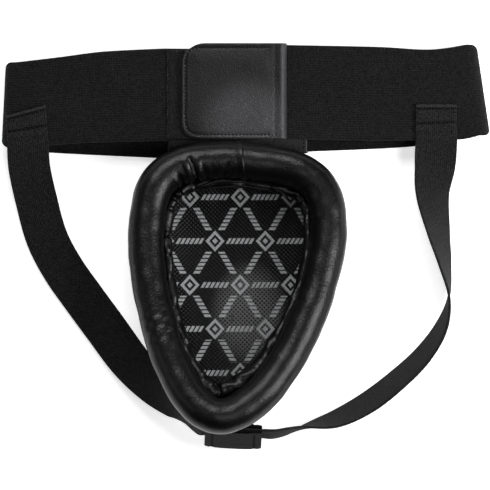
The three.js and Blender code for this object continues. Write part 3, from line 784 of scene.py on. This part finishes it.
def build_cup_layers():
    lining = build_bowl_layer("cup_lining_cloth", 0, 1, LINING, 90, lining_relief)
    fit(lining, "lining", "cup", "cup_lining")
    cover = build_bowl_layer("cup_cover", *COVER_DEPTHS, LEATHER_FLAT, 70, cover_relief)
    fit(cover, "leather", "cup", "cup_outer_cover")


def build_cup_seams():
    """Stitches round the lining's edge, and a second row where the cover is sewn on outside."""
    count = 700
    fine = rim_outline(count)
    normal = inward(fine)
    for name, depth, drop, side, lean, radius, nodes in (
        ("rim_seam_stitches", -0.9, 1.4, 1, 0.8, 0.24, ["rim_stitching"]),
        ("cover_seam_stitches", COVER_DEPTHS[1] - 1.1, 5.0, -1, -0.35, 0.3, []),
    ):
        path = from_cup(raised(fine + normal * (LINING_EDGE - depth), BOWL_EDGE_Z - drop))
        up = unit(np.column_stack([side * normal, np.full(count, lean)]) @ CUP_TURN.T)
        stitches(name, path, "cup", *nodes, up=up, pitch=3.4, radius=radius)


# ---- Flat pieces cut from the CAD outlines ----
def mesh_slices(node):
    """A function of x that gives the lowest and highest y of a CAD node there, in millimetres."""
    mesh, co = node_mesh(node)
    a, b = (co[[e.vertices[k] for e in mesh.edges]] for k in (0, 1))

    def at(x):
        x = np.clip(x, co[:, 0].min() + 1e-4, co[:, 0].max() - 1e-4)
        crossing = (a[:, 0] - x) * (b[:, 0] - x) <= 0
        p, q = a[crossing], b[crossing]
        upright = np.abs(q[:, 0] - p[:, 0]) < 1e-9
        span = np.where(upright, 1, q[:, 0] - p[:, 0])
        y = np.concatenate([p[:, 1] + (x - p[:, 0]) / span * (q[:, 1] - p[:, 1]), p[upright][:, 1]])
        return y.min(), y.max()

    return at


def flat_edges(node, low_from, high_from, to, count):
    """The two long edges of a flat strip, from a slanted end to a square one, at its mid height."""
    slices = mesh_slices(node)
    z = sum(box_mm(node))[2] / 2
    return [
        np.array([(x, slices(x)[k], z) for x in start + (to - start) * np.linspace(0, 1, count)])
        for k, start in enumerate((low_from, high_from))
    ]


def build_waistband(side, sign, corners):
    """One side of the waistband: from the front panel, round the hip and back over itself."""
    front, back, fold = f"waistband_front_{side}", f"waistband_back_{side}", f"waistband_fold_{side}"
    hinge = joint(f"{side}_hip")
    axis = np.array(hinge["axis"], float)
    axis *= np.sign(axis[1])
    centre = np.array(hinge["pos_m"]) / MM
    # The hip line's ends, where the flat stretches stop.
    outer = 0 if sign < 0 else 1
    outer_x, end = box_mm(back)[outer][0], box_mm(back)[1 - outer][0]
    hip_bottom = np.array([outer_x, centre[1] + (outer_x - centre[0]) / axis[0] * axis[1]])
    hip_top = 2 * centre[:2] - hip_bottom
    tuck = box_mm(front)[1 - outer][0]
    fronts = flat_edges(front, hip_bottom[0], hip_top[0], tuck, 70)
    backs = flat_edges(back, hip_bottom[0], hip_top[0], end, 90)
    fold_angles = np.radians(np.linspace(-90, 90, 18)[1:-1])
    facing = np.column_stack([sign * np.cos(fold_angles), 0 * fold_angles, np.sin(fold_angles)])
    edges = []
    for front_part, hip, back_part, corner, inwards in zip(fronts, (hip_bottom, hip_top), backs, corners, (1, -1)):
        line = np.vstack([front_part[::-1], np.array([*hip, centre[2]]) + FOLD_RADIUS * facing, back_part])
        off_end = np.minimum(sign * (hip[0] + sign * FOLD_RADIUS - line[:, 0]), corner)
        pull = corner - np.sqrt(np.maximum(corner**2 - (corner - off_end) ** 2, 0))
        line[:, :2] += inwards * pull[:, None] * axis[:2]
        edges.append(line)
    down, up = (np.tile([0, 0, z], (len(part[0]), 1)) for z, part in ((-1.0, fronts), (1.0, backs)))
    band = webbing(f"waistband_{side}", *edges, np.vstack([down, facing, up]), ELASTIC, BAND_ELASTIC, across=26)
    fit(band, "elastic", None, front, back, fold)
    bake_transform(band)


def plate(name, node, body, material, slot, across=20, relief=None, inset=0.0, thickness=None):
    """A flat piece with rounded edges in the place of a CAD plate."""
    low, high = box_mm(node)
    slices = mesh_slices(node)
    eased_part = 12  # how much of its length has rows closer together, towards the low-x end
    xs = np.concatenate([
        low[0] + inset + eased(14) * eased_part,
        np.linspace(low[0] + inset + eased_part, high[0] - inset - 1, 40),
        high[0] - inset - np.array([0.6, 0.3, 0.1, 0]),
    ])
    z = (low[2] + high[2]) / 2
    a, b = ([(x, slices(x)[k] + off, z) for x in xs] for k, off in ((0, inset), (1, -inset)))
    thickness = thickness or high[2] - low[2]
    piece = webbing(name, a, b, [UP] * len(xs), thickness, material, across, relief, round_ends=True)
    fit(piece, slot, body, node)


# ---- Front panel ----
def build_front_panel():
    plate("front_panel_outside", "front_panel_outer", "waist_front", LEATHER_FLAT, "leather")
    plate("front_panel_inside", "front_panel_inner", "waist_front", LEATHER_FLAT, "leather")
    top = box_mm("front_panel_inner")[1][2]
    for side in ("left", "right"):
        node = f"panel_seam_{side}"
        low, high = box_mm(node)
        path = [((low[0] + high[0]) / 2, y, top + 0.05) for y in np.linspace(low[1], high[1], 60)]
        stitches(f"panel_stitches_{side}", path, "waist_front", node, seed=4)


def build_neck():
    """The panel's leather carried down under the roll and sewn to the cup's edge."""
    half_width, shoulder_drop = 43.6, 16
    flat_z, sewn_z, sewn_inset = 2.3, -15.6, 7.4
    panel_low, panel_high = box_mm("front_panel_outer")
    panel_edge = mesh_slices("front_panel_outer")
    shift = (panel_low[0] + panel_high[0]) / 2
    t = np.linspace(0, 1, 24)[:, None]
    rows = []
    for k, x in enumerate(np.linspace(-half_width, half_width, 60)):
        sewn = from_cup([x, -sewn_inset - shoulder_drop * (abs(x) / RIM_HALF) ** 3, sewn_z])
        panel = np.array([x + shift, panel_edge(x + shift)[0] - 0.4, flat_z])
        bend = panel - [0, LEATHER / 2 + 0.3, 0]
        wave = 0.3 * sin(0.7 * k + 0.4) * np.sin(pi * t)
        rows.append(bend * (1 - t) + sewn * t + (panel - bend) * (1 - smooth(t, 0, 0.12)) + [0, 1, 0] * wave)
    grid = np.array(rows)
    half = unit(np.cross(np.gradient(grid, axis=0), np.gradient(grid, axis=1))) * LEATHER / 2
    neck = loft("cup_neck_leather", np.hstack([grid + half, (grid - half)[:, ::-1]]), LEATHER_FLAT)
    fit(neck, "leather", None, "cup_neck")
    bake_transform(neck)


# ---- Closure tab ----
CLOSURE_STITCH_INSET = 2.9


def closure_relief(outline, root_x):
    """Height of the tab's face: a sewn-down groove inside its edge, and a soft crown in the middle."""
    stitch = CLOSURE_STITCH_INSET

    def relief(points, depth):
        flat = points[..., :2].reshape(-1, 2)
        nearest = np.full(len(flat), 1e9)
        for p, q in zip(outline[:-1], outline[1:]):
            d = q - p
            t = np.clip(((flat - p) @ d) / (d @ d), 0, 1)
            nearest = np.minimum(nearest, np.linalg.norm(flat - (p + t[:, None] * d), axis=1))
        nearest = nearest.reshape(points.shape[:2])
        x, height = points[..., 0], points[..., 1] - outline[:, 1].mean()
        groove = -0.6 * bump_at(nearest, stitch, 1.4)
        border = 0.3 * bump_at(nearest, stitch / 2, stitch / 2)
        crown = 0.45 * smooth(nearest, stitch, 14)
        dish = 0.9 * (height / 30) ** 2 * smooth(nearest, 2, 12)
        fade = 1 - smooth(x, root_x - 2, root_x + 4)
        ridge = 0.55 * bump_at(x, root_x + 9.5, 2.6) - 0.3 * bump_at(x, root_x + 5.5, 2)
        return (groove + border + crown + dish) * fade + 0.25 * (1 - fade) + ridge

    return relief


def build_closure():
    """The leather closure tab, wrapped over the end of the elastic as one piece, with its hook patch below."""
    low, high = box_mm("closure_tab_face")
    root_high = box_mm("closure_tab_root")[1]
    slices = mesh_slices("closure_tab_face")
    band_top = box_mm("waistband_back_right")[1][2]
    thickness, eased_part = 2.0, 13
    mid_z = high[2] - thickness / 2 - 0.35
    turn_x = root_high[0] - 6.2
    xs = np.concatenate([low[0] + eased(22) * eased_part, np.linspace(low[0] + eased_part, high[0] - 0.2, 46)])
    upper_corner = 16  # the free end's upper corner is rounder than its lower one
    off = upper_corner - np.clip(xs - low[0], 0, upper_corner)
    drop = upper_corner - np.sqrt(upper_corner**2 - off**2)
    straight_top = slices(low[0] + 20)[1]
    bottom = [slices(x)[0] for x in xs]
    top = [min(slices(x)[1], straight_top - d) for x, d in zip(xs, drop)]
    # The stretch over the elastic's end, then round it.
    section = [(x, mid_z, UP) for x in [*xs, *np.linspace(high[0] + 1.0, turn_x, 8)]]
    radius_x, radius_z = root_high[0] - turn_x - thickness / 2 + 0.3, mid_z - (band_top + 0.9)
    for angle in np.radians(np.linspace(90, -20, 16)[1:]):
        c, s = cos(angle), sin(angle)
        z = max(mid_z - radius_z + radius_z * s, band_top + 0.75)
        section.append((turn_x + radius_x * c, z, tuple(unit(np.array([c, 0, max(s, 0.02)])))))
    beyond = len(section) - len(xs)
    a, b = ([(x, y, z) for (x, z, _), y in zip(section, ys + ys[-1:] * beyond)] for ys in (bottom, top))
    ends = np.linspace(high[0], low[0] + 1e-3, 60)
    edge = [(x, slices(x)[0]) for x in ends] + [(x, slices(x)[1]) for x in ends[::-1]]
    face = webbing(
        "closure_tab_leather", a, b, [normal for *_, normal in section], thickness, LEATHER_TAB, across=70,
        relief=closure_relief(np.array(edge), high[0]), round_ends=True,
    )
    fit(face, "leather", None, "closure_tab_face", "closure_tab_root")

    inset, corner = CLOSURE_STITCH_INSET, 11.0
    radius = corner - inset + 1.5
    left, low_y, high_y, right = low[0] + inset, bottom[-1] + inset, top[-1] - inset, turn_x + 3
    arc = [(radius * (1 - cos(t)), radius * (1 - sin(t))) for t in np.linspace(0, pi / 2, 12)]
    path = [(right, low_y), *((left + q, low_y + p) for p, q in arc)]
    path += [*((left + p, high_y - q) for p, q in arc), (right, high_y)]
    path = np.column_stack([resample(path, 400), np.full(400, mid_z + thickness / 2 - 0.1)])
    look = {"pitch": 2.4, "fill": 0.6, "radius": 0.4, "seed": 9}
    row = stitches("closure_tab_stitches", path, None, "closure_tab_stitching", **look)
    for piece in (face, row):
        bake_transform(piece)

    plate("closure_tab_lining", "closure_tab_backing", "closure_tab", LEATHER_FLAT, "leather", across=30, inset=1.2)
    plate("hook_tape", "hook_patch", "closure_tab", HOOK_PLASTIC, "hook_tape", across=30, thickness=0.5)
    build_hooks()


def build_hooks():
    """Rows of moulded hooks under the tape, leaning one way and the other by turns."""
    low, high = box_mm("hook_patch")
    slices = mesh_slices("hook_patch")
    base = (low[2] + high[2]) / 2 - 0.25
    spacing = 1.5
    verts = []
    for row, x in enumerate(np.arange(low[0] + 2, high[0] - 1.5, spacing)):
        bottom, top = slices(x)
        for y in np.arange(bottom + 2.2 + 0.7 * (row % 2), top - 2, spacing):
            for t in (0, 0.4, 0.75, 1.0):
                lean = 0.35 * t * t * (1 if row % 2 else -1)
                down = 0.32 * sin(min(t * 1.25, 1.25) * pi / 2)
                w = 0.11 * (1 - 0.4 * t)
                for dx, dy in ((-w, -w), (w, -w), (w, w), (-w, w)):
                    verts.append((x + dx, y + dy + lean, base - down))
    hooks = strands("hook_tape_hooks", verts, 4, 4, HOOK_PLASTIC, flip=False, rounded=False)
    fit(hooks, "hook_tape", "closure_tab")


def build_loop_patch():
    """Brushed pile patch, with stray loops along the edge that shows, and its stitched border."""
    def relief(points, depth):
        x, y = points[..., 0], points[..., 1]
        return 0.1 * np.sin(x * 2.1 + 1.3 * np.sin(y * 1.7)) + 0.08 * np.sin(y * 3.3)

    plate("loop_patch_pile", "loop_patch", "band_left", PILE, "loop_pile", across=60, relief=relief, inset=0.3)
    low, high = box_mm("loop_patch")
    rng = random.Random(21)
    count, shown, inset = 1500, 12, 1.9
    verts = []
    for _ in range(count):
        x = low[0] + 0.5 + (shown - 0.5) * rng.random() ** 1.2
        y = rng.uniform(low[1] + 0.8, high[1] - 0.8)
        turn, size = rng.uniform(0, pi), rng.uniform(0.25, 0.55)
        for t in np.linspace(0, pi, 5):
            reach = size * cos(t)
            centre = (x + reach * cos(turn), y + reach * sin(turn), high[2] - 0.05 + 0.42 * sin(t))
            verts += [np.add(centre, off) for off in ((0.05, 0, -0.03), (-0.05, 0.04, 0), (0, -0.05, 0.03))]
    fit(strands("loop_patch_loops", verts, 5, 3, PILE, flip=False), "loop_pile", "band_left")
    left, bottom, top = low[0] + inset, low[1] + inset, high[1] - inset
    path = resample([(low[0] + shown, bottom), (left, bottom), (left, top), (low[0] + shown, top)], 200)
    path = np.column_stack([path, np.full(200, high[2] + 0.15)])
    stitches("loop_patch_stitches", path, "band_left", "loop_patch_stitching", seed=3)


# ---- Leg straps ----
def cubic(p1, p2, slope1, slope2, w):
    """A cubic from p1 to p2 with a slope at each end."""
    bend3, bend2 = 2 * p1 - 2 * p2 + slope1 + slope2, -3 * p1 + 3 * p2 - 2 * slope1 - slope2
    return bend3 * w**3 + bend2 * w**2 + slope1 * w + p1


def spline(stations, count):
    """A centripetal Catmull-Rom curve through [x, y, z, roll], as the CAD straps follow."""
    stations = np.array(stations, float)
    points, rolls = stations[:, :3], stations[:, 3]
    n = len(points)
    out, roll_out = [], []
    for u in np.linspace(0, 1, count):
        p = (n - 1) * u
        i = min(int(p), n - 2)
        w = p - i
        p1, p2 = points[i], points[i + 1]
        p0 = points[i - 1] if i > 0 else 2 * p1 - p2
        p3 = points[i + 2] if i + 2 < n else 2 * p2 - p1
        d0, d1, d2 = (np.linalg.norm(b - a) ** 0.5 for a, b in ((p0, p1), (p1, p2), (p2, p3)))
        t1 = ((p1 - p0) / d0 - (p2 - p0) / (d0 + d1) + (p2 - p1) / d1) * d1
        t2 = ((p2 - p1) / d1 - (p3 - p1) / (d1 + d2) + (p3 - p2) / d2) * d1
        out.append(cubic(p1, p2, t1, t2, w))
        r0, r1, r2, r3 = (rolls[min(max(i + k, 0), n - 1)] for k in (-1, 0, 1, 2))
        roll_out.append(cubic(r1, r2, (r2 - r0) / 2, (r3 - r1) / 2, w))
    return np.array(out), np.radians(roll_out)


def strap_frame(centre, roll):
    """Directions across a strap and out of its face, at each point of its middle line."""
    along = tangents(centre)
    flat = unit(np.column_stack([along[:, 1], -along[:, 0], np.zeros(len(centre))]))
    up = unit(np.cross(flat, along))
    across = flat * np.cos(roll)[:, None] + up * np.sin(roll)[:, None]
    return across, unit(np.cross(along, across))


def tab_place(side, reach, down, thickness=0.0):
    """A place in the frame of the tab under the cup, in the row frame: down is along the tab."""
    local = turn_x(TAB_SLOPE) @ np.array([side * (TAB_WIDTH / 2 + reach), -down, thickness])
    return from_cup(local + raised(np.array([TAB_SHIFT, TAB_ROOT - RIM_LENGTH]), TAB_ROOT_Z))


STRAP_DOWN = STRAP_INSET + STRAP_WIDTH / 2  # where the straps' middle lies, along the tab
LOW = ELASTIC / 2 + 0.4
ON_BAND = 16.1
# Stations of each strap's middle line, from the hem to the tab: x, y, z and roll in degrees.
ROUTES = {
    "left": (
        (-143.8, 63, ON_BAND, 0), (-143.2, 50.5, 13, 0), (-138.6, 28, 4.2, 0),
        (-131.4, 2, LOW, 0), (-121, -18, LOW, 0), (-107, -38, LOW, 0),
        (-92.3, -58, LOW + 0.8, -2), (-77, -78.8, 6, -12), (-61.7, -95.5, 14, -32),
        (-48.8, -107.5, 23.5, -56), (-39.5, -117, 28.5, -76),
    ),
    "right": (
        (128.6, 66.3, ON_BAND, 0), (128.2, 58, 16.1, 2), (127.8, 50, 14.8, 14),
        (126.2, 31.5, 11.8, 37), (130.2, 5, 13.6, 58), (134.2, -15, 14.9, 73),
        (137, -37.5, 15.4, 90), (131.8, -57.5, 15.4, 106), (119.6, -76, 14.6, 114),
        (102, -93, 14.4, 118), (82.3, -108, 15.5, 119), (61, -119, 20, 112),
        (39.5, -124.5, 27, 92),
    ),
}
MOUTH_REACH = {"left": 3.5, "right": 7}  # how far outside the tab a strap's last free station lies
DRAWN_FROM = {"left": 34, "right": 48}  # how far from the tab the webbing begins to bunch
DRAWN_IN = 11


def build_leg_strap(side, sign):
    """Elastic webbing from the waistband to the tab under the cup, in an upper and a lower stretch."""
    first = np.array(ROUTES[side][0]) + (0, 5, -0.2, 0)
    stations = [np.add(station, (*ORIGIN[:2], 0, 0)) for station in (first, *ROUTES[side])]
    slope = degrees(TAB_SLOPE + CUP_PITCH)
    for reach in (MOUTH_REACH[side], 0.6, -8, -TAB_WIDTH / 2 + 0.6):
        stations.append((*tab_place(sign, reach, STRAP_DOWN), sign * slope))
    centre, roll = spline(stations, 420)
    across, normal = strap_frame(centre, roll)
    if normal[0][2] <= 0:
        normal = -normal
    length = lengths(centre)
    split = int(np.searchsorted(length, 0.36 * length[-1]))
    # The webbing bunches towards the tab: the edge further down the tab is drawn in.
    mouth_at = length[-1] - TAB_WIDTH / 2
    drawn_in = DRAWN_IN * smooth(length, mouth_at - DRAWN_FROM[side], mouth_at - 3)
    b_is_lower = across[-1] @ (tab_place(sign, 0, 10) - tab_place(sign, 0, 0)) > 0
    edge_a = centre - across * (STRAP_WIDTH / 2 - drawn_in * (not b_is_lower))[:, None]
    edge_b = centre + across * (STRAP_WIDTH / 2 - drawn_in * b_is_lower)[:, None]
    middle, mouth = centre[(split + 1) // 2], tab_place(sign, 0.6, STRAP_DOWN)
    for part, stretch, node, bodies, end in (
        ("upper", slice(0, split + 1), "", (f"band_{side}", "waist_front"), middle),
        ("lower", slice(split, None), "_tail", ("waist_front", "cup"), mouth),
    ):
        strips = (edge_a[stretch], edge_b[stretch], normal[stretch])
        strap = webbing(f"leg_strap_{side}_{part}", *strips, ELASTIC, STRAP_ELASTIC, across=14)
        for item in strap.data.uv_layers[0].data:
            item.uv.x += length[stretch][0] * MM
        fit(strap, "elastic", None, f"leg_strap_{side}{node}")
        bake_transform(strap)


HEM_LEAN = {"left": (0.09, 0.21), "right": (0.04, 0)}  # of the lower row and the top edge


def build_hem(side):
    """A strap's sewn end: the webbing turned under, with two rows of stitches through it."""
    node = f"leg_strap_{side}_hem"
    co = node_mesh(node)[1]
    low_right, low_left, high_left = (
        co[np.argmax(by)][:2] for by in (co[:, 0] - co[:, 1], -co[:, 0] - co[:, 1], co[:, 1] - co[:, 0])
    )
    right, up = unit(low_right - low_left), unit(high_left - low_left)
    width, height = np.linalg.norm(low_right - low_left), np.linalg.norm(high_left - low_left)
    middle = (low_left + low_right) / 2
    z0 = box_mm(node)[0][2]
    turned = 15.5  # how much of the webbing is turned under
    rows = {"upper": height - 3.0, "lower": height - 12.6}  # the stitch rows' heights in the hem
    layer = ELASTIC * 0.92

    def across(y):
        """The way across the hem at a height in it, pulled out of square."""
        return right + up * np.interp(y, [0, rows["lower"], height], [0, *HEM_LEAN[side]])

    # The hem's section: the end turned under, the fold, and the webbing above it, as (y, z, normal y, normal z).
    section = [(y, z0 + layer / 2, 0, -1) for y in np.linspace(height - turned, height - layer, 16)]
    for angle in np.radians(np.linspace(-90, 90, 12)[1:-1]):
        c, s = cos(angle), sin(angle)
        section.append((height - layer + layer * 0.5 * c, z0 + layer + layer * 0.5 * s, c, s))
    for y in np.linspace(height - layer, -1.5, 90):
        sink = smooth(-y, -(height - turned) + 1.0, -(height - turned) + 5.5)
        press = 1.6 * (bump_at(y, rows["upper"], 1.4) + bump_at(y, rows["lower"], 1.5))
        section.append((y, z0 + 1.5 * layer - sink * layer * 0.95 - press, 0, 1))
    edge_a, edge_b = (
        [(*(middle + up * y + across(y) * end * width / 2), z) for y, z, _, _ in section] for end in (-1, 1)
    )
    normals = [(*(up * ny), nz) for _, _, ny, nz in section]
    hem = webbing(f"leg_strap_{side}_end", edge_a, edge_b, normals, layer * 0.96, HEM_ELASTIC_LIT, across=14)
    fit(hem, "elastic", f"band_{side}", node)
    for row, y in rows.items():
        ends = [(*(middle + up * y + across(y) * end * (width / 2 - 1.2)), z0 + 2 * layer - 1.3) for end in (-1, 1)]
        path = resample(ends, 60)
        path[:, 1] += 0.22 * np.sin(np.linspace(0, 9, 60))
        node = f"leg_strap_{side}_stitch_{row}"
        look = {"pitch": 2.9, "fill": 0.84, "radius": 0.5, "seed": 17}
        stitches(f"leg_strap_{side}_end_stitches_{row}", path, f"band_{side}", node, **look)


def build_strap_tab():
    """The folded leather tab under the cup, sewn down at both sides of the straps."""
    outer = TAB_SLOT / 2 + LEATHER / 2
    turn = TAB_LENGTH - outer - LEATHER / 2
    stitch_inset, stitch_from = 5.0, 6
    bend = np.radians(np.linspace(-90, 90, 14)[1:-1])
    path = np.array([
        *((-outer, d) for d in np.linspace(0, turn, 26)),
        *((outer * sin(a), turn + outer * cos(a)) for a in bend),
        *((outer, d) for d in np.linspace(turn, 0, 26)),
    ])
    flow = tangents(path)
    base = tab_place(-1, 0, 0)
    down_axis = unit(tab_place(-1, 0, 10) - base)
    thick_axis = unit(tab_place(-1, 0, 0, 10) - base)
    edge_a, edge_b = ([tab_place(side, 0, down, thickness) for thickness, down in path] for side in (-1, 1))
    normals = np.outer(flow[:, 0], down_axis) - np.outer(flow[:, 1], thick_axis)
    if normals[0] @ thick_axis > 0:
        normals = -normals

    def crown(depth):
        """How far the leather bulges over the straps, by the distance from its nearest side."""
        return 1.2 * (1 - (1 - np.clip(2 * depth / TAB_WIDTH, 0, 1)) ** 3)

    def relief(points, depth):
        return crown(depth) - 0.4 * bump_at(depth, stitch_inset, 1.5) + 0.12 * bump_at(depth, 2.5, 2.2)

    tab = webbing("strap_tab_leather", edge_a, edge_b, normals, LEATHER, LEATHER_DULL, across=40, relief=relief)
    fit(tab, "leather", "cup", "strap_tab")
    for side, sign in (("left", -1), ("right", 1)):
        for face, label, nodes in ((-1, "front", [f"strap_tab_stitching_{side}"]), (1, "back", [])):
            out = face * (outer + LEATHER / 2 - 0.2 + crown(stitch_inset))
            path = [tab_place(sign, -stitch_inset, d, out) for d in np.linspace(stitch_from, turn + 0.5, 50)]
            name = f"strap_tab_stitches_{side}_{label}"
            stitches(name, path, "cup", *nodes, up=thick_axis * face, seed=23 + face)


# ---- CAD nodes that stay as they are, inside the cup ----
def dress_inner_nodes():
    for node, material in (("cup_shell", SHELL_PLASTIC), ("cup_foam_liner", FOAM), ("rim_foam_core", FOAM)):
        materials = frame["nodes"][node].data.materials
        materials.clear()
        materials.append(material)


# ---- Stage ----
def build_stage():
    """Pale floor, soft boxes beyond the waistband, overhead and at both sides, and a camera straight above."""
    reach = 6.0
    floor = bpy.data.meshes.new("floor")
    corners = [(-reach, -reach, 0), (reach, -reach, 0), (reach, reach, 0), (-reach, reach, 0)]
    floor.from_pydata(corners, [], [(0, 1, 2, 3)])
    paint = Finish("floor_paint", 0.9, specular=0.1)
    feed(paint.tree, paint.shader, {
        "Base Color": (0.92, 0.92, 0.92, 1), "Emission Color": (1, 1, 1, 1), "Emission Strength": 0.58,
    })
    floor.materials.append(paint.material)
    add_to_scene("floor", floor, (0, 0, -0.0005))

    scene = bpy.context.scene
    world = bpy.data.worlds.new("studio")
    scene.world = world
    world.use_nodes = True
    tree = world.node_tree
    split = new_node(tree, "SeparateXYZ", {0: new_node(tree, "TexCoord", {}).outputs["Generated"]})
    fall = {"Value": split.outputs[2], "From Min": 0.0, "From Max": 0.85, "To Min": 0.26, "To Max": 0.04}
    feed(tree, tree.nodes["Background"], {"Strength": new_node(tree, "MapRange", fall).outputs["Result"]})

    target = Vector((0, -0.01, 0.02))
    for name, place, size, power in (
        ("key_softbox", (-0.2, 0.98, 0.9), (0.9, 0.45), 12.5),
        ("overhead_softbox", (0.1, -0.1, 1.5), (0.4, 0.4), 2.6),
        ("right_softbox", (0.6, -0.05, 0.55), (0.4, 0.5), 7.5),
        ("left_softbox", (-0.9, -0.1, 0.7), (0.4, 0.7), 1.0),
    ):
        light = bpy.data.lights.new(name, "AREA")
        light.shape = "RECTANGLE"
        light.size, light.size_y = size
        light.energy = power
        lamp = add_to_scene(name, light, place)
        lamp.rotation_euler = (target - Vector(place)).to_track_quat("-Z", "Y").to_euler()

    camera = bpy.data.cameras.new("camera")
    distance, width, middle_height = 8.0, 0.3268, 0.02  # width is the view's, at the object's middle height
    camera.sensor_width = 36
    camera.lens = camera.sensor_width * (distance - middle_height) / width
    camera.clip_end = 100
    scene.camera = add_to_scene("camera", camera, (-0.00051, 0.00046, distance))
    scene.view_settings.view_transform = "Standard"


build_stage()
rim_line = Rim(rim_outline(900))
build_rim(rim_line)
build_splice()
build_welt(rim_line)
build_folds(rim_line)
build_cup_layers()
build_cup_seams()
build_waistband("left", -1, corners=(4, 3))
build_waistband("right", 1, corners=(3, 3))
build_front_panel()
build_neck()
build_closure()
build_loop_patch()
for strap_side, strap_sign in (("left", -1), ("right", 1)):
    build_leg_strap(strap_side, strap_sign)
    build_hem(strap_side)
build_strap_tab()
dress_inner_nodes()
